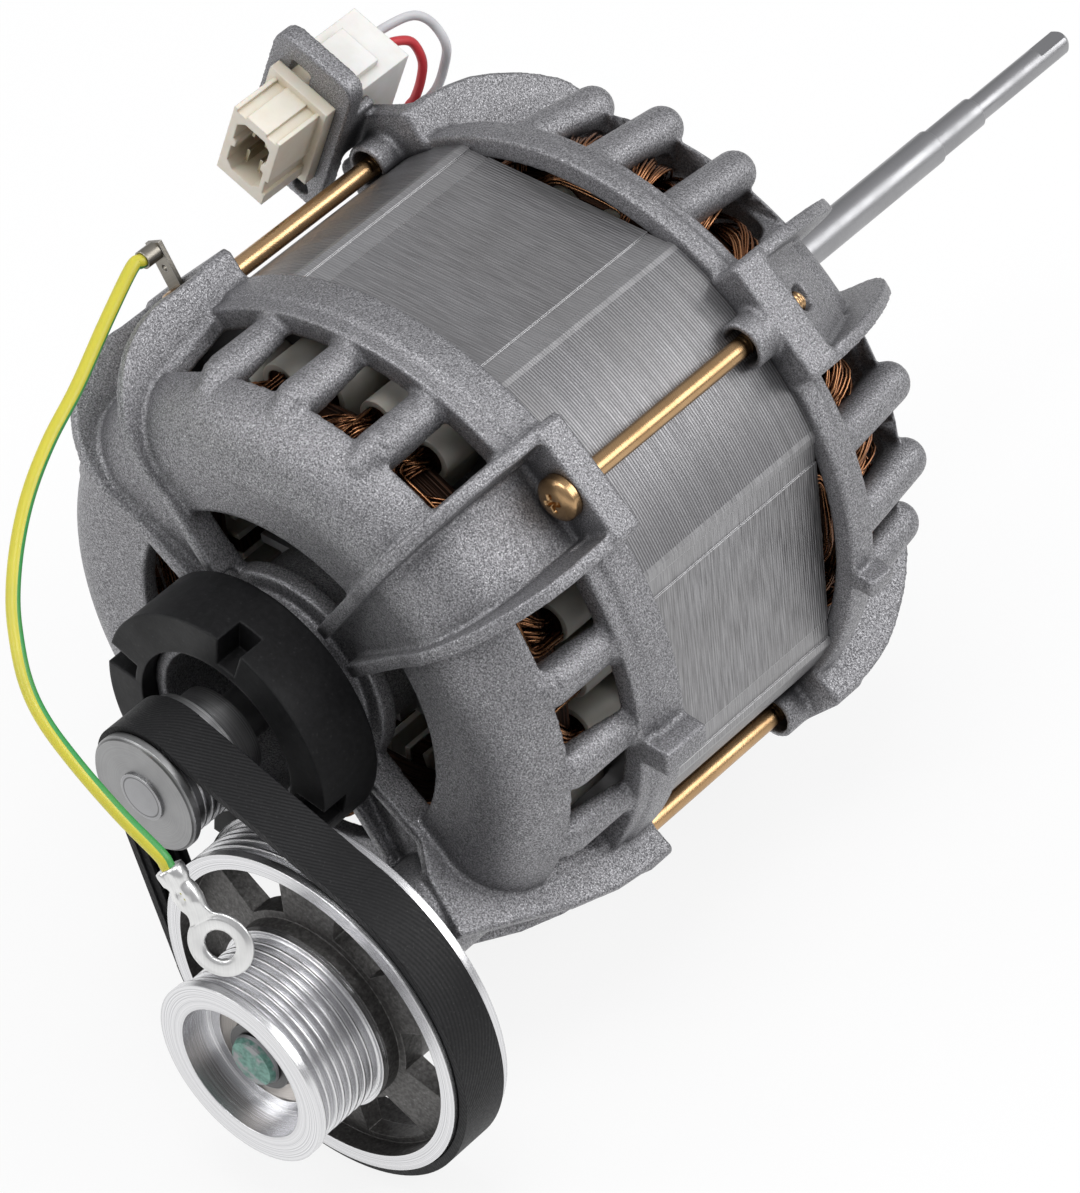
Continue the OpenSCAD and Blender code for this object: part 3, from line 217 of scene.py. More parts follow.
earth_route += [EYE_CENTRE + x * eye_axis for x in (16.5, 14, 8.4)]
earth_line = smooth_line(earth_route, 8)
print("earth wire:", round(line_length(earth_line), 1), "mm")

earth_mesh = tube_mesh(earth_line, EARTH_D / 2, EARTH_SIDES, first_side=(1, 0, 1))
earth_wire = piece("earth_wire_cord", *earth_mesh, "stator_side", "earth_wire", ["earth_wire"])
# the two colours of the wire are told apart by where a point lies round the tube and along it
around = earth_wire.data.attributes.new("around", "FLOAT_VECTOR", "POINT")
for i in range(len(earth_line) * EARTH_SIDES):
    turn = 2 * math.pi * (i % EARTH_SIDES) / EARTH_SIDES
    around.data[i].vector = (math.cos(turn), math.sin(turn), (i // EARTH_SIDES) / (len(earth_line) - 1))

# %% [markdown]
# The ring terminal is punched from thin tinned sheet and rolled round the wire.
# A flat ring could be welded to a cylinder, but the neck between them is what gives it away as sheet metal,
# so it is lofted: sections that are flat at the ring swell to a rolled barrel with a closing seam.

# %% Ring terminal
def lofted_mesh(sections):
    """Joins sections with equal numbers of points and closes both ends."""
    return [p for section in sections for p in section], ring_faces(len(sections), len(sections[0]))


CREASE, SECTION_POINTS = 0.28, 36  # half the width of the closing seam, and the points round a section


def rounded_section(centre, across, up, half_width, half_height, squareness, seam):
    """An oval whose corners fill out as squareness grows; seam presses a crease into its upper side."""
    section = []
    for k in range(SECTION_POINTS):
        turn = 2 * math.pi * k / SECTION_POINTS
        c, s = math.cos(turn), math.sin(turn)
        x = math.copysign(abs(c) ** (2 / squareness), c) * half_width
        y = math.copysign(abs(s) ** (2 / squareness), s) * half_height
        if s > 0:
            y -= seam * math.exp(-(x / CREASE) ** 2)
        section.append(centre + x * across + y * up)
    return section


EYE_TILT = math.radians(26)
forward = Vector((0, -1, 0))
eye_side = eye_axis.cross(forward)
terminal = Heap()
ring_profile = [
    (2.55, -38.2), (2.7, -38.4), (3.3, -38.5), (4.3, -38.5), (4.62, -38.44), (4.75, -38.3), (5.15, -38.27),
    (5.3, -38.15), (5.35, -37.95), (5.3, -37.7), (5.15, -37.57), (4.9, -37.55), (2.75, -37.55), (2.55, -37.7)]
terminal.add(turned_mesh(ring_profile, 84, (EYE_CENTRE.x, EYE_CENTRE.z)))
# each section: its place on the neck, half width, half height, squareness, and depth of the closing seam
neck = [
    (4.4, 2.7, 0.44, 8, 0), (5.1, 2.2, 0.45, 8, 0), (5.7, 1.95, 0.47, 7, 0), (6.3, 1.85, 0.7, 4.5, 0),
    (6.9, 1.9, 1.1, 3.4, 0), (7.5, 2.05, 1.5, 2.9, 0.12), (8.2, 2.15, 1.66, 2.7, 0.4), (8.9, 2.15, 1.6, 2.7, 0.55),
    (9.3, 2.2, 1.7, 2.7, 0.4), (9.9, 2.15, 1.6, 2.7, 0.55), (10.4, 2.05, 1.56, 2.5, 0.3),
    (10.9, 1.9, 1.5, 2.4, 0.1), (11.4, 2.0, 1.58, 2.4, 0.12), (11.9, 2.25, 1.78, 2.6, 0.35),
    (13.4, 2.3, 1.85, 2.6, 0.4), (14.0, 2.22, 1.78, 2.5, 0.25), (14.1, 1.3, 1.3, 2, 0)]
terminal.add(lofted_mesh([rounded_section(EYE_CENTRE + x * eye_axis, eye_side, forward, *shape)
                          for x, *shape in neck]))
# the terminal hangs from its wire a little turned, with its flat side up and to the right
turned_by = Matrix.Rotation(EYE_TILT, 4, eye_axis)
terminal.points = [turned_by @ (Vector(q) - EYE_CENTRE) + EYE_CENTRE for q in terminal.points]
ring_terminal = piece(
    "ring_terminal_rolled", terminal.points, terminal.faces, "stator_side", "bright_tin", ["ring_terminal"])
print("ring terminal:", len(terminal.faces), "faces")

# %% [markdown]
# Two short leads loop out of the white plug and dive into the rear winding.
# They are fixed at both ends, so nothing about them swings, and a plain round tube along a smooth line is enough.

# %% Leads of the plug
# the two ends of the core along the shaft, and how far the white collars stand out of each
CORE_FRONT, CORE_REAR, FRONT_COLLAR, REAR_COLLAR = 41.5, 82.8, 10.0, 5.0
# the frame that holds the connector, the plug behind it, and a lead
FRAME_PLACE, FRAME_TILT = Vector((-51.506, CORE_REAR - 6.8, 43.813)), math.radians(23)
FRAME_THICK, PLUG_LONG, LEAD_D = 3.4, 14.5, 1.6
# the end turns: inner radius, outer radius in front and at the rear, and height
COIL_IN, FRONT_COIL_OUT, COIL_OUT, COIL_HIGH = 31.0, 40.6, 43.5, 9.0
DIAGONAL = 0.70711


def frame_point(u, y, v):
    """A point in the tilted axes of the connector frame."""
    c, s = math.cos(FRAME_TILT), math.sin(FRAME_TILT)
    return FRAME_PLACE + Vector((u * c + v * s, y, v * c - u * s))


def corner_point(out, along, y):
    """A point at the upper left corner: outwards, along the ear, and behind the core."""
    return Vector(((along - out) * DIAGONAL, CORE_REAR + y, (along + out) * DIAGONAL))


def coil_point(height, degrees):
    """Where a lead dips into the rear end turn."""
    a = math.radians(degrees)
    y = CORE_REAR + REAR_COLLAR + 3.1 + 0.12 * height * height
    return Vector(((COIL_OUT + height) * math.cos(a), y, (COIL_OUT + height) * math.sin(a)))


def lead(name, node, u, v, last_straight, corners, degrees):
    """A lead that starts at (u, v) inside the plug, passes the corners and dips into the end turn."""
    route = [frame_point(u, FRAME_THICK + PLUG_LONG + y, v) for y in (-3.9, 0.1, last_straight)]
    route += [corner_point(*c) for c in corners] + [coil_point(h, degrees) for h in (4.4, 2.2, 0.2)]
    line = smooth_line(route, 8)
    print(name, round(line_length(line), 1), "mm")
    return piece(name, *tube_mesh(line, LEAD_D / 2, 20), "stator_side", node, [node])


red_lead = lead("red_lead_wire", "lead_red", 0.9, 4.2, 2.4, [
    (66.3, -2.2, 17.4), (62.9, -4, 18.3), (60.4, -6.9, 17.8), (58.5, -10.4, 17), (57.6, -12.6, 15.8),
    (53.5, -13.6, 12.2)], 149)
grey_lead = lead("grey_lead_wire", "lead_grey", -1.6, 4.8, 2.8, [
    (70, 0.3, 17.6), (68.7, 1.2, 19.5), (66.1, 0.7, 21), (62.4, -0.6, 21.4), (59.6, -4.6, 21), (57.7, -8, 19.9),
    (56.3, -12, 17.6), (52.2, -15.4, 14)], 151.7)

# %% [markdown]
# Each end winding is about a thousand enamelled copper wires. They come out of each white collar as a bundle,
# run on along the shaft, lean over sideways and dive back under their neighbours.
# A bumpy ring would look like a rope, so each wire is its own thin tube, and the dice that spread them are seeded.
# Three families share the work: fans at the collars, laced bundles over the outside, and rings on the end face.

# %% Copper end windings
WIRE_D, WIRE_SIDES, SLOTS = 0.5, 5, 24
WIRES_PER_SLOT, BUNDLE_WIRES, FACE_WIRES = 34, 7, 150
MOUTH_R = 41.7  # how far out a collar's mouth reaches
STRAND_GAP, BUNDLE_OUT = 0.66, 1.15  # between the wires of a bundle, and from the winding to its middle
dice = random.Random(11)


def polar(r, degrees, y):
    """A point at a distance and an angle round the shaft."""
    a = math.radians(degrees)
    return Vector((r * math.cos(a), y, r * math.sin(a)))


def thin_wire(line):
    return tube_mesh(line, WIRE_D / 2, WIRE_SIDES)


def fan_wire(slot, mouth, side, crest, reach):
    """One wire out of a collar, over the crest and down; side is -1 at the front and 1 at the rear."""
    spread = dice.uniform(-2.6, 2.6)
    a = (slot + 0.5) * 360 / SLOTS + spread * 0.85
    r = MOUTH_R - abs(spread) * 0.25 - dice.uniform(0, 6.5)
    top = crest + dice.uniform(-0.5, 0.6) - abs(spread) * 0.12
    lean = spread * 0.8 + dice.uniform(2.2, 4.2)
    far = reach * dice.uniform(0.72, 1)
    # each corner: its radius, its share of the lean, and its height over the mouth
    shape = [(r, 0, -1.5), (r, 0, 0.25), ((r + 2 * top) / 3, 0.05, 0.26 * far), (top, 0.3, 0.5 * far),
             (top + 0.1, 0.75, 0.76 * far), (top - 0.9, 1.35, far), (top - 3.2, 2.2, far + 0.75),
             (top - 6.4, 3.1, far + 0.3)]
    return thin_wire(smooth_line([polar(q, a + k * lean, mouth + side * y) for q, k, y in shape], 2))


def bundle_line(middle, half, leg_from, run_at, r):
    """The middle of a laced bundle: a leg, a run round the ring and a second leg."""
    way = math.copysign(1, run_at - leg_from)
    high = abs(run_at - leg_from) - 2.4
    legs = [leg_from + way * y for y in (0, 1.8, (high + 1.8) / 2, high)]
    line = [polar(r, middle - half, y) for y in legs] + [polar(r, middle - half + 0.9, run_at - way * 0.7)]
    line += [polar(r, middle - half + 3.2 + (2 * half - 6.4) * k / 13, run_at) for k in range(14)]
    line += [polar(r, middle + half - 0.9, run_at - way * 0.7)]
    return line + [polar(r, middle + half, y) for y in legs[::-1]]


def bundle_wires(heap, line):
    """Wires side by side along one line: one in the middle and the others round it."""
    start = line[0]
    frames = ring_frames(smooth_line(line, 2), (start.x, 0, start.z))
    for k in range(BUNDLE_WIRES):
        off, turn = (STRAND_GAP if k else 0), 2 * math.pi * k / (BUNDLE_WIRES - 1)
        twist = dice.uniform(-0.05, 0.05)
        heap.add(thin_wire([p + off * (math.cos(turn + twist * i) * a + math.sin(turn + twist * i) * b)
                            for i, (p, a, b) in enumerate(frames)]))


def face_wire(slot, r, end_y, side):
    """One wire on the end face: it climbs, crosses three to five slots and dives again."""
    a0 = (slot + 0.5) * 360 / SLOTS + dice.uniform(-3, 3)
    a1 = a0 + dice.choice((45, 60, 75)) + dice.uniform(-3, 3)
    drift, lift = dice.uniform(-2.2, 2.2), dice.uniform(0, 0.35)
    line = [polar(r + drift, a0 - 1.5, end_y - side * 2.2), polar(r + drift * 0.9, a0, end_y - side * 0.2)]
    for k in range(8):
        y = end_y + side * (0.2 + lift + dice.uniform(0, 0.15))
        line.append(polar(r + drift * (0.8 - 1.6 * k / 7), a0 + 4 + (a1 - a0 - 8) * k / 7, y))
    line += [polar(r - drift * 0.9, a1, end_y - side * 0.2), polar(r - drift, a1 + 1.5, end_y - side * 2.2)]
    return thin_wire(smooth_line(line, 2))


def end_winding(name, node, side, mouth, coil_out, crest, reach, lace, leg_from):
    """All the wires of one end as one piece: the fans, the laced bundles and the wires on the face."""
    wires = Heap()
    for slot in range(SLOTS):
        for _ in range(WIRES_PER_SLOT):
            wires.add(fan_wire(slot, mouth, side, crest, reach))
    for middle, half, run_at in lace:
        bundle_wires(wires, bundle_line(middle, half, leg_from, run_at, coil_out + BUNDLE_OUT))
    for k in range(FACE_WIRES):
        # steps of 0.618 of the width spread the wires evenly
        r = COIL_IN + 1 + (coil_out - COIL_IN - 2.4) * (k * 0.618 % 1)
        wires.add(face_wire(k * 7 % SLOTS, r, mouth + side * COIL_HIGH, side))
    print(name, len(wires.faces), "faces")
    return piece(name, wires.points, wires.faces, "stator_side", "copper", [node])


front_mouth, rear_mouth = CORE_FRONT - FRONT_COLLAR, CORE_REAR + REAR_COLLAR
# each bundle: the angle of its middle, half the angle that it spans, and where its run lies along the shaft
front_lace = [(q * 90 + 45, 11 + 14 * k, front_mouth - 0.3 - 4.8 - 2.25 * k) for q in range(4) for k in range(3)]
rear_lace = [(q * 90, 11 + 14 * k, CORE_REAR + 5.2 + 2.7 * k) for q in range(4) for k in range(3)]
front_wires = end_winding(
    "copper_wires_front", "winding_front", -1, front_mouth, FRONT_COIL_OUT, crest=41.6, reach=7.6, lace=front_lace,
    leg_from=front_mouth - 0.3)
rear_wires = end_winding(
    "copper_wires_rear", "winding_rear", 1, rear_mouth, COIL_OUT, crest=46.3, reach=11.8, lace=rear_lace,
    leg_from=CORE_REAR)

# %% [markdown]
# Four long tie bolts hold the two castings together. Each has a rounded head with a cross recess,
# and a thread at its far end. The head is a height field: rings of points whose height falls away as a dome
# and drops inside the cross. The thread is a tube whose radius rises and falls once for each turn.
# Both could be cut with booleans, but rings of points give clean faces and no leftovers.

# %% Tie bolts
ROD_R, ROD_D, ROD_END, ROD_SIDES = 54.4, 3.4, 91.8, 24
THREAD_FROM, PITCH = 77.5, 0.7
HEAD_D, HEAD_H, HEAD_RINGS, SKIRT_RINGS, HEAD_SIDES = 7.6, 2.8, 30, 5, 96
CROSS_HALF, CROSS_REACH, CROSS_DEEP = 0.5, 1.7, 1.5


def cross_depth(x, z):
    """How deep the cross recess is at a point of the head, from 0 to 1, with sloping walls."""
    x, z = abs(x), abs(z)
    if max(x, z) >= CROSS_REACH:
        return 0
    return max(0, min(1, (CROSS_HALF - x) / 0.14) * min(1, (CROSS_REACH - z) / 0.3),
               min(1, (CROSS_HALF - z) / 0.14) * min(1, (CROSS_REACH - x) / 0.3))


def bolt_head(centre_x, centre_z, seat, cross_turn):
    """A pan head seen from in front; its outer side faces -Y."""
    points, flank = [], HEAD_RINGS - SKIRT_RINGS
    for j in range(HEAD_RINGS + 1):
        r = HEAD_D / 2 * min(1, j / flank)
        drop = max(0, j - flank) / SKIRT_RINGS
        dome = HEAD_H * (0.42 + 0.58 * math.sqrt(max(0, 1 - (r / (HEAD_D / 2) * 0.985) ** 2.6)))
        for i in range(HEAD_SIDES):
            turn = 2 * math.pi * i / HEAD_SIDES
            sunk = cross_depth(r * math.cos(turn - cross_turn), r * math.sin(turn - cross_turn))
            y = seat - dome * (1 - drop) + CROSS_DEEP * sunk * (1 - 0.25 * r)
            points.append((centre_x + r * math.cos(turn), y, centre_z + r * math.sin(turn)))
    return points, ring_faces(HEAD_RINGS + 1, HEAD_SIDES, first_cap=False)


def bolt_rod(centre_x, centre_z, seat):
    """A plain rod that turns into an M4 thread near its end."""
    ys = [seat, seat + 0.5] + [seat + 1 + (THREAD_FROM - seat - 1.5) * i / 12 for i in range(13)]
    ys += [THREAD_FROM + i * PITCH / 6 for i in range(int((ROD_END - THREAD_FROM) / PITCH * 6))] + [ROD_END]
    points = []
    for y in ys:
        for k in range(ROD_SIDES):
            turn = 2 * math.pi * k / ROD_SIDES
            r = ROD_D / 2
            if y > THREAD_FROM:
                phase = ((y - THREAD_FROM) / PITCH - k / ROD_SIDES) % 1
                r += 0.17 * (1 - abs(2 * phase - 1)) * min(1, (y - THREAD_FROM) / 1.2) - 0.1
            if y >= ROD_END - 0.5:
                r -= (y - ROD_END + 0.5) * 0.8
            points.append((centre_x + r * math.cos(turn), y, centre_z + r * math.sin(turn)))
    return points, ring_faces(len(ys), ROD_SIDES)


bolts = Heap()
for q, cross in enumerate((20, 65, 40, 10)):
    corner = math.radians(45 + 90 * q)
    x, z = ROD_R * math.cos(corner), ROD_R * math.sin(corner)
    seat = SEAT_Y - (TAB_THICK if q == 1 else 0)
    bolts.add(bolt_head(x, z, seat, math.radians(cross)))
    bolts.add(bolt_rod(x, z, seat))
tie_bolts = piece("tie_bolts_threaded", bolts.points, bolts.faces, "stator_side", "bolt_brass", ["tie_bolts"])
print("bolts:", len(bolts.faces), "faces")

# %% [markdown]
# The CAD end shields are exact, with sharp inner and outer corners. A real pressure casting has a radius
# everywhere, because molten metal doesn't fill a knife edge. A bevel modifier needs clean edge loops,
# which these many-holed shells lack, so each shield is rebuilt from small voxels, smoothed a little,
# and thinned to fewer faces where it is flat.

# %% Softened castings
VOXEL, SMOOTHINGS, KEPT_SHARE = 0.42, 3, 0.16


def softened(name, node_name):
    """A copy of a cast node with its corners rounded over; it stands for the node."""
    made = new_object(name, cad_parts[node_name].data.copy())
    skin = made.modifiers.new("skin", "REMESH")
    skin.mode, skin.voxel_size = "VOXEL", VOXEL * MM
    fillets = made.modifiers.new("fillets", "SMOOTH")
    fillets.factor, fillets.iterations = 0.5, SMOOTHINGS
    made.modifiers.new("thin", "DECIMATE").ratio = KEPT_SHARE
    mesh = bpy.data.meshes.new_from_object(made.evaluated_get(bpy.context.evaluated_depsgraph_get()))
    made.modifiers.clear()
    made.data = mesh
    mesh.name = name
    mesh.materials.clear()
    mesh.shade_smooth()
    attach(made, "stator_side")
    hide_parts(node_name)
    print(name, len(mesh.polygons), "faces")
    return made


front_casting = softened("front_shield_cast", "front_shield")
rear_casting = softened("rear_shield_cast", "rear_shield")

# %% [markdown]
# The finishes. Each effect that several metals share is a node group: it takes a few values and gives out
# masks and heights. The Principled shader itself stays in each material, with its plain numbers on its own sockets.

# %% Node helpers
def node(tree, kind, inputs=None, **settings):
    """Adds a node, sets its options, and fills or links its inputs."""
    made = tree.nodes.new(kind)
    for key, value in settings.items():
        setattr(made, key, value)
    for key, value in (inputs or {}).items():
        if isinstance(value, bpy.types.NodeSocket):
            tree.links.new(value, made.inputs[key])
        else:
            made.inputs[key].default_value = value
    return made


def maths(tree, operation, a, b=0.0, clamp=False):
    """A Math node; a and b are numbers or sockets."""
    return node(tree, "ShaderNodeMath", {0: a, 1: b}, operation=operation, use_clamp=clamp).outputs[0]


def times(tree, a, b):
    return maths(tree, "MULTIPLY", a, b)


def turned_over(tree, value):
    """One minus a mask, kept between 0 and 1."""
    return maths(tree, "SUBTRACT", 1.0, value, clamp=True)


def mixed(tree, factor, a, b):
    """A colour between a and b."""
    made = node(tree, "ShaderNodeMix", data_type="RGBA")
    for index, value in ((0, factor), (6, a), (7, b)):
        if isinstance(value, bpy.types.NodeSocket):
            tree.links.new(value, made.inputs[index])
        else:
            made.inputs[index].default_value = value if index == 0 else (*value, 1)
    return made.outputs[2]


def ranged(tree, value, low, high, to_low=0.0, to_high=1.0):
    """Stretches the part of a value between low and high to a new range."""
    return node(tree, "ShaderNodeMapRange", {0: value, 1: low, 2: high, 3: to_low, 4: to_high}).outputs[0]


def object_spot(tree):
    """Where a point lies in the motor, in metres."""
    return node(tree, "ShaderNodeTexCoord").outputs["Object"]


def noise(tree, spot, scale, detail, roughness):
    values = {"Vector": spot, "Scale": scale, "Detail": detail, "Roughness": roughness}
    return node(tree, "ShaderNodeTexNoise", values).outputs[0]


def group(name, inputs, outputs):
    """An empty node group with float inputs and outputs."""
    tree = bpy.data.node_groups.new(name, "ShaderNodeTree")
    for label, value in inputs.items():
        tree.interface.new_socket(label, in_out="INPUT", socket_type="NodeSocketFloat").default_value = value
    for label in outputs:
        kind = "NodeSocketVector" if label == "Normal" else "NodeSocketFloat"
        tree.interface.new_socket(label, in_out="OUTPUT", socket_type=kind)
    return tree, tree.nodes.new("NodeGroupInput").outputs, tree.nodes.new("NodeGroupOutput").inputs


def place(tree, made_group, **values):
    """Puts a group into a material with its own values."""
    made = tree.nodes.new("ShaderNodeGroup")
    made.node_tree = made_group
    for key, value in values.items():
        made.inputs[key.replace("_", " ")].default_value = value
    return made.outputs


def finish_material(name, roughness, metallic=0.0, **sockets):
    """A new material with its Principled shader and plain numbers."""
    made = bpy.data.materials.new(name)
    made.use_nodes = True
    shader = made.node_tree.nodes["Principled BSDF"]
    for key, value in dict(Roughness=roughness, Metallic=metallic, **sockets).items():
        shader.inputs[key.replace("_", " ")].default_value = value
    return made, made.node_tree, shader


def link(tree, value, shader, socket):
    tree.links.new(value, shader.inputs[socket])


def painted(tree, shader, tone, mask, rough_low, rough_high):
    """Gives a shader its colour, and a roughness that follows a mask."""
    link(tree, tone, shader, "Base Color")
    link(tree, ranged(tree, mask, 0, 1, rough_low, rough_high), shader, "Roughness")


def bumped(tree, shader, height, distance, strength, normal=None):
    """A bump from a height, on top of a softened normal if one is given."""
    made = node(tree, "ShaderNodeBump", {"Height": height, "Distance": distance, "Strength": strength})
    if normal is not None:
        tree.links.new(normal, made.inputs["Normal"])
    link(tree, made.outputs[0], shader, "Normal")


print("node helpers ready")

# %% [markdown]
# Blasted castings sparkle: fine dark pits between bright grains. A fine noise gives the tone, a cell pattern the
# single bright grains, which are partly grain and partly painted glints, and a broad noise the patches of handling.
# A picture of metal could do it too, but noise in the object's own space has no seams and no end.

# %% Grain group
grain, g_in, g_out = group("grain", {"Size": 1500.0, "Patch Size": 60.0}, ("Tone", "Sparkle", "Patches", "Height"))
spot = object_spot(grain)
fine = noise(grain, spot, g_in["Size"], 3.0, 0.65)
cells = node(grain, "ShaderNodeTexVoronoi", {"Vector": spot, "Scale": g_in["Size"]}).outputs["Distance"]
broad = noise(grain, spot, g_in["Patch Size"], 4.0, 0.6)
grain.links.new(ranged(grain, fine, 0.36, 0.64), g_out["Tone"])
# Sparkle: bright specks for the colour, partly grain and partly painted glints
grain.links.new(times(grain, ranged(grain, cells, 0.32, 0.12), ranged(grain, fine, 0.5, 0.62)), g_out["Sparkle"])
grain.links.new(ranged(grain, broad, 0.35, 0.65), g_out["Patches"])
grain.links.new(maths(grain, "ADD", fine, times(grain, cells, 0.4)), g_out["Height"])
print("grain group:", len(grain.nodes), "nodes")

# %% [markdown]
# Turned faces carry fine rings round their axis. The distance from the axis plus the place along it
# runs evenly over both flat faces and barrels, so one-dimensional noise along that sum draws the tool marks.

# %% Turned lines group
turned, t_in, t_out = group("turned lines", {"Axis X": 0.0, "Axis Z": 0.0, "Fineness": 6000.0},
                            ("Rings", "Radius", "Along"))
place_xyz = node(turned, "ShaderNodeSeparateXYZ", {0: object_spot(turned)}).outputs
off_x = maths(turned, "SUBTRACT", place_xyz[0], t_in["Axis X"])
off_z = maths(turned, "SUBTRACT", place_xyz[2], t_in["Axis Z"])
radius = maths(turned, "SQRT", maths(turned, "ADD", times(turned, off_x, off_x), times(turned, off_z, off_z)))
along = times(turned, maths(turned, "ADD", radius, place_xyz[1]), t_in["Fineness"])
rings = node(turned, "ShaderNodeTexNoise", {"W": along, "Scale": 1.0, "Detail": 2.0}, noise_dimensions="1D")
turned.links.new(rings.outputs[0], t_out["Rings"])
turned.links.new(radius, t_out["Radius"])
turned.links.new(place_xyz[1], t_out["Along"])
print("turned lines group:", len(turned.nodes), "nodes")

# %% [markdown]
# Edges are never razor sharp. The Bevel node rounds the shading where faces meet, and where its normal differs
# from the true one there is an edge, which the finishes lighten, partly as wear from handling and partly as a
# painted highlight.
# Hollows get the opposite: the group also tells how open a spot is, and the finishes paint shade into the closed
# spots.

# %% Soft edges group
edges, e_in, e_out = group("soft edges", {"Radius": 0.0005}, ("Normal", "Edge", "Shade"))
rounded = node(edges, "ShaderNodeBevel", {"Radius": e_in["Radius"]}, samples=6).outputs[0]
flat_normal = node(edges, "ShaderNodeNewGeometry").outputs["Normal"]
alike = node(edges, "ShaderNodeVectorMath", {0: rounded, 1: flat_normal}, operation="DOT_PRODUCT").outputs["Value"]
openness = node(edges, "ShaderNodeAmbientOcclusion", {"Distance": 0.004}, samples=6).outputs["AO"]
edges.links.new(rounded, e_out["Normal"])
# Edge: where the finishes paint lighter edges, partly wear and partly painted highlight
edges.links.new(ranged(edges, alike, 0.995, 0.8), e_out["Edge"])
# Shade: low in hollows, where the finishes paint shade into the colour
edges.links.new(ranged(edges, openness, 0.35, 0.9), e_out["Shade"])


def grain_and_edges(tree, size, patch_size, radius):
    """The two groups that nearly every finish has."""
    return place(tree, grain, Size=size, Patch_Size=patch_size), place(tree, edges, Radius=radius)


print("soft edges group:", len(edges.nodes), "nodes")

# %% [markdown]
# The two end shields are pressure castings, shot-blasted to a matt mid grey that sparkles in the light.
# It is built up as a painter would: a grained ground, bright grains that are partly painted glints, dull patches,
# edges lightened partly as wear and partly as a painted highlight, then painted shade in the hollows.

# %% Casting finish
casting, tree, shader = finish_material("blasted casting", 0.5, 0.75)
g, e = grain_and_edges(tree, 3500, 38, 0.0005)
tone = mixed(tree, g["Tone"], (0.115, 0.114, 0.12), (0.425, 0.422, 0.438))
# bright grains, partly painted glints
tone = mixed(tree, g["Sparkle"], tone, (0.92, 0.92, 0.94))
tone = mixed(tree, times(tree, g["Patches"], 0.2), tone, (0.19, 0.19, 0.2))
# edges lightened, partly wear and partly a painted highlight
tone = mixed(tree, times(tree, e["Edge"], 0.3), tone, (0.46, 0.46, 0.475))
# painted shade: hollows darkened by the ambient occlusion of the soft edges group
tone = mixed(tree, turned_over(tree, e["Shade"]), tone, (0.085, 0.085, 0.09))
painted(tree, shader, tone, g["Tone"], 0.58, 0.4)
bumped(tree, shader, g["Height"], 0.00011, 0.8, e["Normal"])
print(casting.name, len(tree.nodes), "nodes")

# %% [markdown]
# The stator is a stack of half-millimetre steel sheets. The place along the shaft, counted in sheets, draws each
# one as a fine even line on the round corners. The four flats were sheared and rubbed, so their lines are broken up
# by noise stretched along the sheets. How far a point lies from the axis along X or Z tells which of the two it is.

# %% Lamination finish
# in metres: where the flats lie, and half the width of the strip along the middle of each
SHEETS_PER_METRE, FLAT_FROM, MIDDLE_HALF = 2000.0, 0.0471, 0.0163
lamination, tree, shader = finish_material("stacked laminations", 0.42, 0.85)
spot = object_spot(tree)
spot_xyz = node(tree, "ShaderNodeSeparateXYZ", {0: spot}).outputs
size_x, size_z = maths(tree, "ABSOLUTE", spot_xyz[0]), maths(tree, "ABSOLUTE", spot_xyz[2])
on_flat = maths(tree, "GREATER_THAN", maths(tree, "MAXIMUM", size_x, size_z), FLAT_FROM)
beside = times(tree, on_flat, maths(tree, "GREATER_THAN", maths(tree, "MINIMUM", size_x, size_z), MIDDLE_HALF))
on_top = maths(tree, "GREATER_THAN", size_z, size_x)
sheet = times(tree, spot_xyz[1], SHEETS_PER_METRE)
from_middle = maths(tree, "ABSOLUTE", maths(tree, "SUBTRACT", maths(tree, "FRACT", sheet), 0.5))
seam = ranged(tree, from_middle, 0.1, 0.45)
own = node(tree, "ShaderNodeTexWhiteNoise", {"W": maths(tree, "FLOOR", sheet)}, noise_dimensions="1D").outputs[0]
stretched = node(tree, "ShaderNodeMapping", {"Vector": spot, "Scale": (150.0, 2800.0, 150.0)}).outputs[0]
streaks = ranged(tree, noise(tree, stretched, 1.0, 3.0, 0.6), 0.33, 0.67)
g, e = grain_and_edges(tree, 3600, 36, 0.00025)
ground = maths(tree, "ADD", times(tree, own, 0.3), times(tree, g["Tone"], 0.4))
tone = mixed(tree, ground, (0.25, 0.248, 0.256), (0.45, 0.447, 0.46))
tone = mixed(tree, times(tree, seam, 0.8), tone, (0.085, 0.084, 0.088))
contrast = turned_over(tree, times(tree, on_top, 0.6))
rubbed = maths(tree, "ADD", 0.45, times(tree, contrast, maths(tree, "SUBTRACT", streaks, 0.5)))
rubbed = mixed(tree, rubbed, (0.16, 0.158, 0.162), (0.47, 0.466, 0.476))
# bright grains on the flats, partly painted glints
rubbed = mixed(tree, times(tree, g["Sparkle"], 0.4), rubbed, (0.55, 0.55, 0.56))
tone = mixed(tree, times(tree, on_flat, 0.7), tone, rubbed)
tone = mixed(tree, times(tree, beside, 0.28), tone, (0.5, 0.498, 0.505))
tone = mixed(tree, times(tree, g["Patches"], 0.2), tone, (0.2, 0.19, 0.18))
# edges lightened, partly wear and partly a painted highlight
tone = mixed(tree, times(tree, e["Edge"], 0.7), tone, (0.78, 0.78, 0.79))
painted(tree, shader, tone, streaks, 0.36, 0.5)
bumped(tree, shader, maths(tree, "SUBTRACT", times(tree, streaks, 0.5), seam), 0.00006, 0.5, e["Normal"])
print(lamination.name, len(tree.nodes), "nodes")

# %% [markdown]
# Bright metals differ mostly in how they were cut: turned, ground, plated or rolled.
# One function covers them all, with its own colours, ring marks and roughness for each,
# because a node tree written out for each would hide how little sets these metals apart.

# %% Metal finishes
def tool_marks(tree, axis, fineness):
    """The turned lines round an axis along the shaft, given in millimetres."""
    return place(tree, turned, Axis_X=axis[0] * MM, Axis_Z=axis[1] * MM, Fineness=fineness)


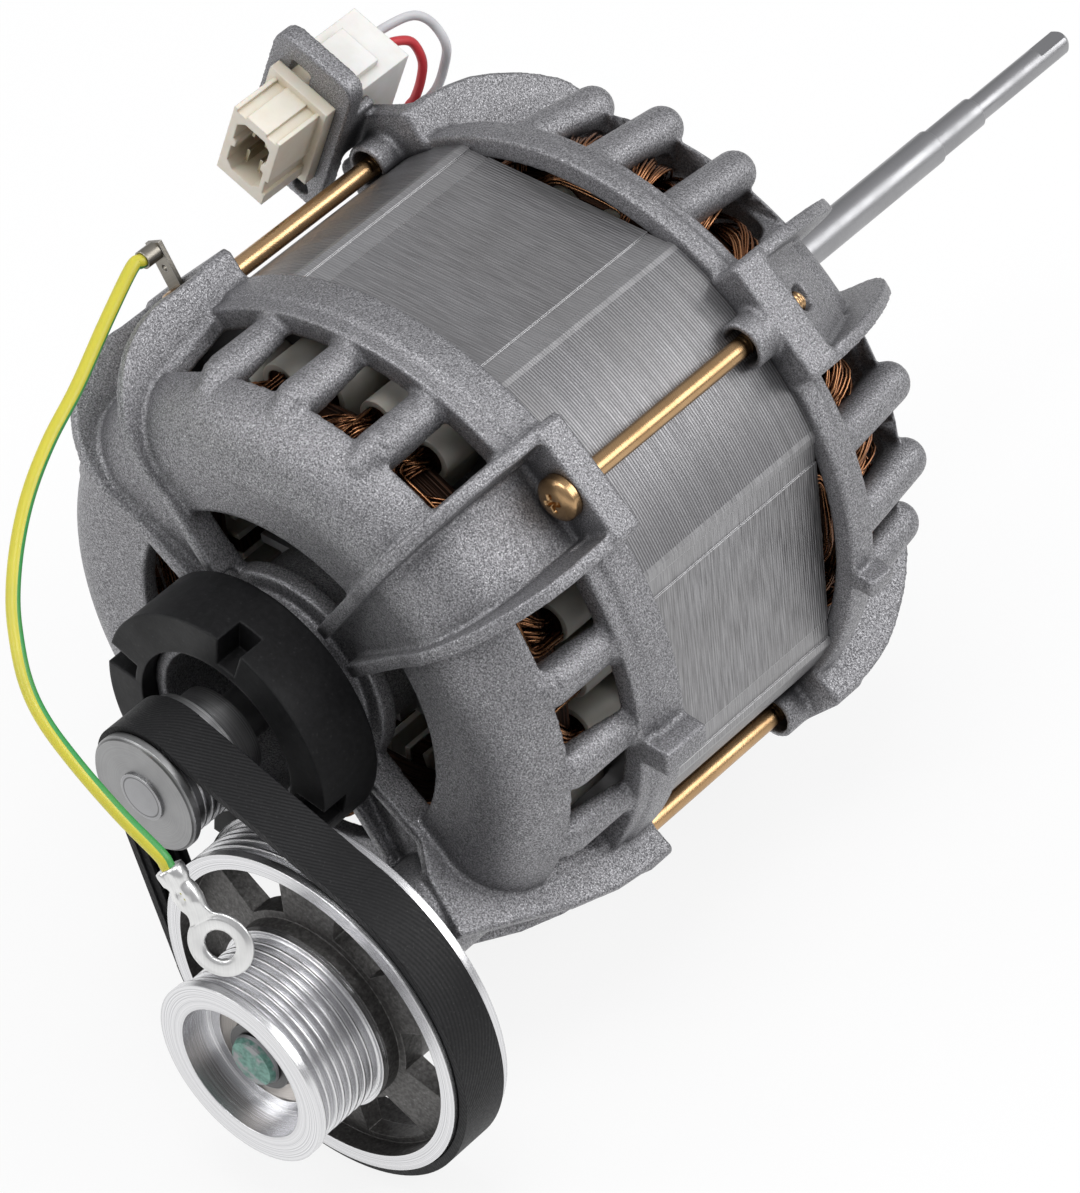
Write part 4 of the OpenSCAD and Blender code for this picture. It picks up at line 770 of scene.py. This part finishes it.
def metal(name, dark, bright, rough, lines=0.25, axis=(0.0, 0.0), fineness=6000, bump=0.4, grain_size=3000,
          edge=(0.9, 0.9, 0.9), patchy=0.2, marks=()):
    """A bare metal; edge is the colour of its lightened edges, partly wear and partly a painted highlight; marks
    are (radius, width) grooves that the lathe left on a face before the motor, darkened with painted shade.
    """
    made, tree, shader = finish_material(name, rough, 1.0)
    g, e = grain_and_edges(tree, grain_size, 90, 0.0002)
    t = tool_marks(tree, axis, fineness)
    tone = mixed(tree, ranged(tree, t["Rings"], 0.3, 0.7, 0.5 - lines * 2, 0.5 + lines * 2), dark, bright)
    tone = mixed(tree, times(tree, g["Patches"], patchy), tone, tuple(0.75 * c for c in dark))
    # edges lightened, partly wear and partly a painted highlight
    tone = mixed(tree, times(tree, e["Edge"], 0.5), tone, edge)
    height = t["Rings"]
    for at, width in marks:
        in_front = maths(tree, "LESS_THAN", t["Along"], 0.0)
        off_mark = maths(tree, "ABSOLUTE", maths(tree, "SUBTRACT", t["Radius"], at))
        groove = times(tree, ranged(tree, off_mark, width, width * 0.4), in_front)
        # painted shade: the groove is darkened in the colour as well as cut by the bump
        tone = mixed(tree, times(tree, groove, 0.75), tone, (0.08, 0.08, 0.08))
        height = maths(tree, "SUBTRACT", height, groove)
    painted(tree, shader, tone, g["Patches"], rough * 0.85, rough * 1.25)
    bumped(tree, shader, height, 0.00006, bump, e["Normal"])
    return made


LAY_AXIS = (28.71, -30.79)
# the mark on the shaft end is a groove darkened with painted shade
ground_shaft = metal(
    "ground shaft", (0.3, 0.3, 0.308), (0.42, 0.42, 0.43), 0.36, 0.12, fineness=9000, bump=0.15,
    marks=((0.0036, 0.00016),))
rotor_steel = metal("rotor steel", (0.16, 0.16, 0.17), (0.3, 0.3, 0.31), 0.4, 0.2, fineness=4000)
rotor_cast = metal("cast rotor rings", (0.45, 0.45, 0.46), (0.6, 0.6, 0.61), 0.45, 0.1)
bearing_steel = metal("bearing steel", (0.5, 0.5, 0.51), (0.68, 0.68, 0.7), 0.18, 0.1, LAY_AXIS)
ball_steel = metal("ball steel", (0.75, 0.75, 0.76), (0.8, 0.8, 0.82), 0.08, 0.0)
cover_steel = metal("bearing covers", (0.3, 0.28, 0.26), (0.46, 0.43, 0.4), 0.33, 0.2, LAY_AXIS)
pulley_steel = metal("turned pulley steel", (0.36, 0.36, 0.365), (0.58, 0.58, 0.59), 0.32, 0.25, fineness=5000)
# the mark on the disc is a groove darkened with painted shade
disc_steel = metal(
    "pulley disc steel", (0.25, 0.25, 0.252), (0.4, 0.4, 0.402), 0.4, 0.14, fineness=9000, bump=0.2,
    marks=((0.0101, 0.00018),))
bronzed_zinc = metal(
    "bronzed zinc", (0.36, 0.21, 0.09), (0.78, 0.53, 0.3), 0.23, 0.06, grain_size=1400, edge=(0.72, 0.56, 0.36),
    patchy=0.4)
tinned = metal("dull tinned steel", (0.2, 0.185, 0.16), (0.36, 0.335, 0.29), 0.4, 0.08)
bright_tin = metal("bright tin", (0.72, 0.72, 0.715), (0.93, 0.93, 0.92), 0.3, 0.08, fineness=2500, patchy=0.4)
contact_brass = metal("contact brass", (0.36, 0.32, 0.22), (0.5, 0.45, 0.33), 0.35, 0.05)
spindle_washer = metal("spindle washer", (0.1, 0.1, 0.1), (0.18, 0.18, 0.18), 0.45, 0.1, LAY_AXIS)
print("bare metals done")

# %% [markdown]
# The double pulley is one casting: its rim and drum are turned bright, while web and spokes keep the rough skin.
# The distance from its axis and the place along it tell the two apart, so one material carries both finishes.

# %% Pulley finish
RIM_INSIDE, DRUM_BACK, BORE = 0.02672, -0.0213, 0.0112  # in metres
pulley_metal, tree, shader = finish_material("turned and cast pulley", 0.3, 1.0)
t = tool_marks(tree, LAY_AXIS, 5200)
g, e = grain_and_edges(tree, 1500, 70, 0.0003)
inside_rim = maths(tree, "LESS_THAN", t["Radius"], RIM_INSIDE)
behind_drum = maths(tree, "GREATER_THAN", t["Along"], DRUM_BACK)
outside_bore = maths(tree, "GREATER_THAN", t["Radius"], BORE)
cast = times(tree, times(tree, inside_rim, behind_drum), outside_bore)
bright = mixed(tree, ranged(tree, t["Rings"], 0.3, 0.7), (0.62, 0.62, 0.635), (0.86, 0.86, 0.87))
# edges lightened, partly wear and partly a painted highlight
bright = mixed(tree, times(tree, e["Edge"], 0.5), bright, (0.95, 0.95, 0.95))
rough_skin = mixed(tree, g["Tone"], (0.095, 0.092, 0.09), (0.17, 0.166, 0.162))
# bright grains on the cast skin, partly painted glints
rough_skin = mixed(tree, times(tree, g["Sparkle"], 0.3), rough_skin, (0.4, 0.4, 0.4))
painted(tree, shader, mixed(tree, cast, bright, rough_skin), cast, 0.27, 0.55)
ring_height = times(tree, t["Rings"], turned_over(tree, cast))
bumped(tree, shader, maths(tree, "ADD", ring_height, times(tree, g["Height"], cast)), 0.00007, 0.45, e["Normal"])
print(pulley_metal.name, len(tree.nodes), "nodes")

# %% [markdown]
# Rubber, belt fabric and plastics are not metals: their colour comes from inside, and light only glances off
# the skin. Black rubber is a dark ground with a low specular level, or it would turn grey under a pale sky.

# %% Rubber and belt finishes
rubber, tree, shader = finish_material("black rubber", 0.55, Specular_IOR_Level=0.22)
g, e = grain_and_edges(tree, 1100, 70, 0.0006)
tone = mixed(tree, g["Tone"], (0.0035, 0.0035, 0.004), (0.0075, 0.0075, 0.0082))
# light specks, partly grain and partly painted glints
tone = mixed(tree, times(tree, g["Sparkle"], 0.12), tone, (0.09, 0.09, 0.09))
# edges lightened, partly wear and partly a painted highlight
tone = mixed(tree, times(tree, e["Edge"], 0.3), tone, (0.04, 0.04, 0.043))
painted(tree, shader, tone, g["Patches"], 0.42, 0.62)
bumped(tree, shader, g["Height"], 0.00006, 0.3, e["Normal"])

belt_rubber, tree, shader = finish_material("ribbed belt", 0.6, Specular_IOR_Level=0.24)
slanted = node(tree, "ShaderNodeMapping", {"Vector": object_spot(tree), "Rotation": (0.0, 0.6, 0.75)}).outputs[0]
weave_values = {"Vector": slanted, "Scale": 640.0, "Distortion": 0.8, "Detail": 1.0, "Detail Scale": 3.0}
weave = node(tree, "ShaderNodeTexWave", weave_values).outputs["Fac"]
g, e = grain_and_edges(tree, 2200, 50, 0.0002)
tone = mixed(tree, times(tree, weave, g["Patches"]), (0.006, 0.006, 0.0066), (0.02, 0.02, 0.0212))
# light specks, partly grain and partly painted glints
tone = mixed(tree, times(tree, g["Sparkle"], 0.22), tone, (0.12, 0.12, 0.12))
painted(tree, shader, tone, g["Tone"], 0.62, 0.48)
bumped(tree, shader, weave, 0.00005, 0.35, e["Normal"])
print(rubber.name, belt_rubber.name)

# %% [markdown]
# Nylon lets some light in, so it gets a little subsurface scattering; a thin sleeve gets less.
# Broad patches take a darker, yellower colour, and the same colour is painted into its hollows as shade.

# %% Plastic finishes
def plastic(name, colour, patch_and_shade, rough=0.42, depth=0.15):
    """A moulded plastic with its colour, and the colour of its patches, which is also painted into its hollows as
    shade.
    """
    made, tree, shader = finish_material(name, rough, Subsurface_Weight=depth, Subsurface_Scale=0.002)
    g, e = grain_and_edges(tree, 900, 110, 0.0004)
    tone = mixed(tree, times(tree, g["Patches"], 0.35), colour, patch_and_shade)
    # painted shade: the hollows take the darker colour
    tone = mixed(tree, turned_over(tree, e["Shade"]), tone, patch_and_shade)
    painted(tree, shader, tone, g["Tone"], rough * 0.85, rough * 1.15)
    bumped(tree, shader, g["Height"], 0.00004, 0.25, e["Normal"])
    return made


cream_plastic = plastic("cream nylon", (0.8, 0.76, 0.67), (0.62, 0.54, 0.4))
white_plastic = plastic("white nylon", (0.82, 0.815, 0.8), (0.6, 0.57, 0.5))
# the slot liners are pale grey-white; this darker colour is partly their own and partly painted shade deep in the
# windows
liner_plastic = plastic("slot liner", (0.5, 0.485, 0.44), (0.26, 0.24, 0.2))
red_sleeve = plastic("red wire sleeve", (0.62, 0.045, 0.055), (0.4, 0.02, 0.03), 0.38, 0.05)
grey_sleeve = plastic("pale grey wire sleeve", (0.62, 0.62, 0.64), (0.42, 0.42, 0.44), 0.38, 0.05)
print("plastics done")

# %% [markdown]
# The earth wire is half green and half yellow. The mesh keeps where each point lies round the tube,
# and the two halves swap places slowly along the wire because it is laid with a little twist.

# %% Earth wire finish
TWIST, FIRST_TURN = 2.4, 3.54  # in radians, along the whole wire and at its start
earth_colours, tree, shader = finish_material(
    "green and yellow sleeve", 0.36, Subsurface_Weight=0.05, Subsurface_Scale=0.001)
around_spot = node(tree, "ShaderNodeAttribute", attribute_name="around").outputs["Vector"]
lay = node(tree, "ShaderNodeSeparateXYZ", {0: around_spot}).outputs
turn = maths(tree, "ADD", times(tree, lay[2], TWIST), FIRST_TURN)
half = maths(tree, "ADD", times(tree, lay[0], maths(tree, "COSINE", turn)),
             times(tree, lay[1], maths(tree, "SINE", turn)))
g = place(tree, grain, Size=1400, Patch_Size=120)
half = maths(tree, "SUBTRACT", half, times(tree, lay[2], 0.5))
tone = mixed(tree, ranged(tree, half, -0.04, 0.04), (0.62, 0.56, 0.05), (0.05, 0.33, 0.09))
tone = mixed(tree, times(tree, g["Patches"], 0.15), tone, (0.3, 0.33, 0.05))
painted(tree, shader, tone, g["Tone"], 0.3, 0.42)
bumped(tree, shader, g["Height"], 0.00003, 0.25)
print(earth_colours.name, len(tree.nodes), "nodes")

# %% [markdown]
# Enamelled copper is a clear lacquer over metal: each wire has its own shade, from honey to brown.
# The wires of one end are one mesh, and Random Per Island gives each loose tube in it its own number.
# The copper inside the slots is hardly seen and lies in shade, so there it is painted nearly black, as painted
# shade over the copper, with fine lines.

# %% Copper finish
copper, tree, shader = finish_material("enamelled copper", 0.27, 1.0, Coat_Weight=0.35, Coat_Roughness=0.15)
own_shade = node(tree, "ShaderNodeNewGeometry").outputs["Random Per Island"]
g, e = grain_and_edges(tree, 700, 160, 0.0001)
tone = mixed(tree, own_shade, (0.25, 0.105, 0.045), (0.54, 0.265, 0.12))
tone = mixed(tree, times(tree, g["Patches"], 0.35), tone, (0.2, 0.07, 0.025))
# painted shade: hollows between the wires darkened by ambient occlusion
tone = mixed(tree, turned_over(tree, e["Shade"]), tone, (0.09, 0.03, 0.012))
painted(tree, shader, tone, g["Tone"], 0.22, 0.34)
bumped(tree, shader, g["Height"], 0.00003, 0.2)

copper_mass, tree, shader = finish_material("copper mass", 0.5, 0.8)
t, g = place(tree, turned, Fineness=1400), place(tree, grain, Size=900, Patch_Size=90)
# painted shade: the winding body is kept far darker than copper, for the shade inside the winding
tone = mixed(tree, ranged(tree, t["Rings"], 0.35, 0.65), (0.012, 0.006, 0.004), (0.07, 0.03, 0.015))
link(tree, mixed(tree, times(tree, g["Patches"], 0.5), tone, (0.02, 0.009, 0.005)), shader, "Base Color")
bumped(tree, shader, t["Rings"], 0.0003, 0.8)
print(copper.name, copper_mass.name)

# %% [markdown]
# The spindle end carries a dab of green locking paint, brushed on unevenly,
# so a noise decides where steel shows through.

# %% Spindle finish
SPINDLE_FACE = -0.0334  # the paint lies in front of this place along the shaft
spindle, tree, shader = finish_material("spindle with locking paint", 0.4, 0.5)
t = tool_marks(tree, LAY_AXIS, 5000)
g = place(tree, grain, Size=800, Patch_Size=420)
front = maths(tree, "LESS_THAN", t["Along"], SPINDLE_FACE)
paint = times(tree, front, ranged(tree, g["Patches"], 0.15, 0.5))
steel = mixed(tree, t["Rings"], (0.22, 0.22, 0.225), (0.4, 0.4, 0.41))
green = mixed(tree, g["Tone"], (0.055, 0.16, 0.13), (0.16, 0.34, 0.28))
link(tree, mixed(tree, paint, steel, green), shader, "Base Color")
link(tree, ranged(tree, paint, 0, 1, 0.95, 0.0), shader, "Metallic")
bumped(tree, shader, g["Height"], 0.0001, 0.5)
print(spindle.name, len(tree.nodes), "nodes")

# %% [markdown]
# Every CAD node that is still shown gets its finish here, by assigning a material and leaving its mesh alone.

# %% Dress the nodes and pieces
FINISHES = {
    "stator_core": lamination, "slot_liners": liner_plastic, "winding_body": copper_mass,
    "rotor_core": rotor_steel, "rotor_rings": rotor_cast, "shaft": ground_shaft,
    "bearing_outers": bearing_steel, "bearing_inners": bearing_steel, "bearing_balls": ball_steel,
    "bearing_covers": cover_steel, "rubber_ring": rubber, "motor_pulley": pulley_steel,
    "pulley_disc": disc_steel, "drive_belt": belt_rubber, "double_pulley": pulley_metal,
    "lay_outers": bearing_steel, "lay_inners": bearing_steel, "lay_balls": ball_steel,
    "lay_covers": cover_steel, "lay_shaft": spindle, "lay_spacer": disc_steel, "lay_washer": spindle_washer,
    "earth_tab": tinned, "earth_sleeve": tinned, "connector_socket": cream_plastic,
    "connector_plug": white_plastic, "contacts": contact_brass,
}
for name, finish in FINISHES.items():
    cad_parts[name].data.materials.clear()
    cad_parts[name].data.materials.append(finish)
for made, finish in ((earth_wire, earth_colours), (ring_terminal, bright_tin), (red_lead, red_sleeve),
                     (grey_lead, grey_sleeve), (front_wires, copper), (rear_wires, copper),
                     (tie_bolts, bronzed_zinc), (front_casting, casting), (rear_casting, casting)):
    made.data.materials.append(finish)
print("materials:", len(bpy.data.materials))

# %% [markdown]
# The motor stands on a plain pale floor. For the camera, and in reflections, the floor glows a little
# so that it reads as white paper, while it still catches the shadow; for all other light it is plain matt white.

# %% Floor
FLOOR_Z, FLOOR_HALF, GLOW_SHARE = -62.4, 4000, 0.85
corners = [(x * FLOOR_HALF, y * FLOOR_HALF, FLOOR_Z) for x, y in ((-1, -1), (1, -1), (1, 1), (-1, 1))]
floor = mesh_object("floor", corners, [[0, 1, 2, 3]], smooth=False)
paper, tree, shader = finish_material("white paper", 0.9)
grains = node(tree, "ShaderNodeTexNoise", {"Vector": object_spot(tree), "Scale": 3.0}).outputs[0]
link(tree, mixed(tree, grains, (0.86, 0.86, 0.86), (0.88, 0.88, 0.88)), shader, "Base Color")
rays = node(tree, "ShaderNodeLightPath").outputs
mirrored = maths(tree, "ADD", rays["Is Glossy Ray"], rays["Is Transmission Ray"])
seen = maths(tree, "ADD", rays["Is Camera Ray"], mirrored, clamp=True)
glow = node(tree, "ShaderNodeEmission", {"Color": (1, 1, 1, 1), "Strength": 1.0}).outputs[0]
shares = {0: times(tree, seen, GLOW_SHARE), 1: shader.outputs[0], 2: glow}
blend = node(tree, "ShaderNodeMixShader", shares).outputs[0]
tree.links.new(blend, tree.nodes["Material Output"].inputs["Surface"])
floor.data.materials.append(paper)
print("floor at", FLOOR_Z, "mm")

# %% [markdown]
# Soft studio light: a large lamp behind to the right gives the long highlight on the laminations,
# a second one fills from the front left, a third lights the top, and the pale world lifts the shadows.
# Large lamps give soft shadow edges; small ones would draw hard lines that the picture doesn't have.

# %% Light
def soft_lamp(name, place_at, size, watts):
    """A square lamp, in metres and watts, that points at the motor."""
    lamp = bpy.data.lights.new(name, "AREA")
    lamp.energy, lamp.size = watts, size
    made = new_object(name, lamp)
    made.location = place_at
    made.rotation_euler = Vector(place_at).to_track_quat("Z", "Y").to_euler()
    return made


soft_lamp("lamp_back_right", (0.9, 0.8, 0.8), 0.9, 9)
soft_lamp("lamp_front_left", (-0.8, -0.9, 0.9), 0.8, 6)
soft_lamp("lamp_above", (0.1, -0.2, 1.5), 0.7, 8)

world = scene.world or bpy.data.worlds.new("studio")
scene.world = world
world.use_nodes = True
sky = world.node_tree
up = node(sky, "ShaderNodeSeparateXYZ", {0: node(sky, "ShaderNodeTexCoord").outputs["Generated"]}).outputs[2]
shade = mixed(sky, ranged(sky, up, -0.1, 0.9), (0.42, 0.42, 0.43), (0.85, 0.85, 0.87))
sky.links.new(shade, sky.nodes["Background"].inputs["Color"])
sky.nodes["Background"].inputs["Strength"].default_value = 0.7
scene.view_settings.view_transform = "Standard"
print("lamps:", len(bpy.data.lights))
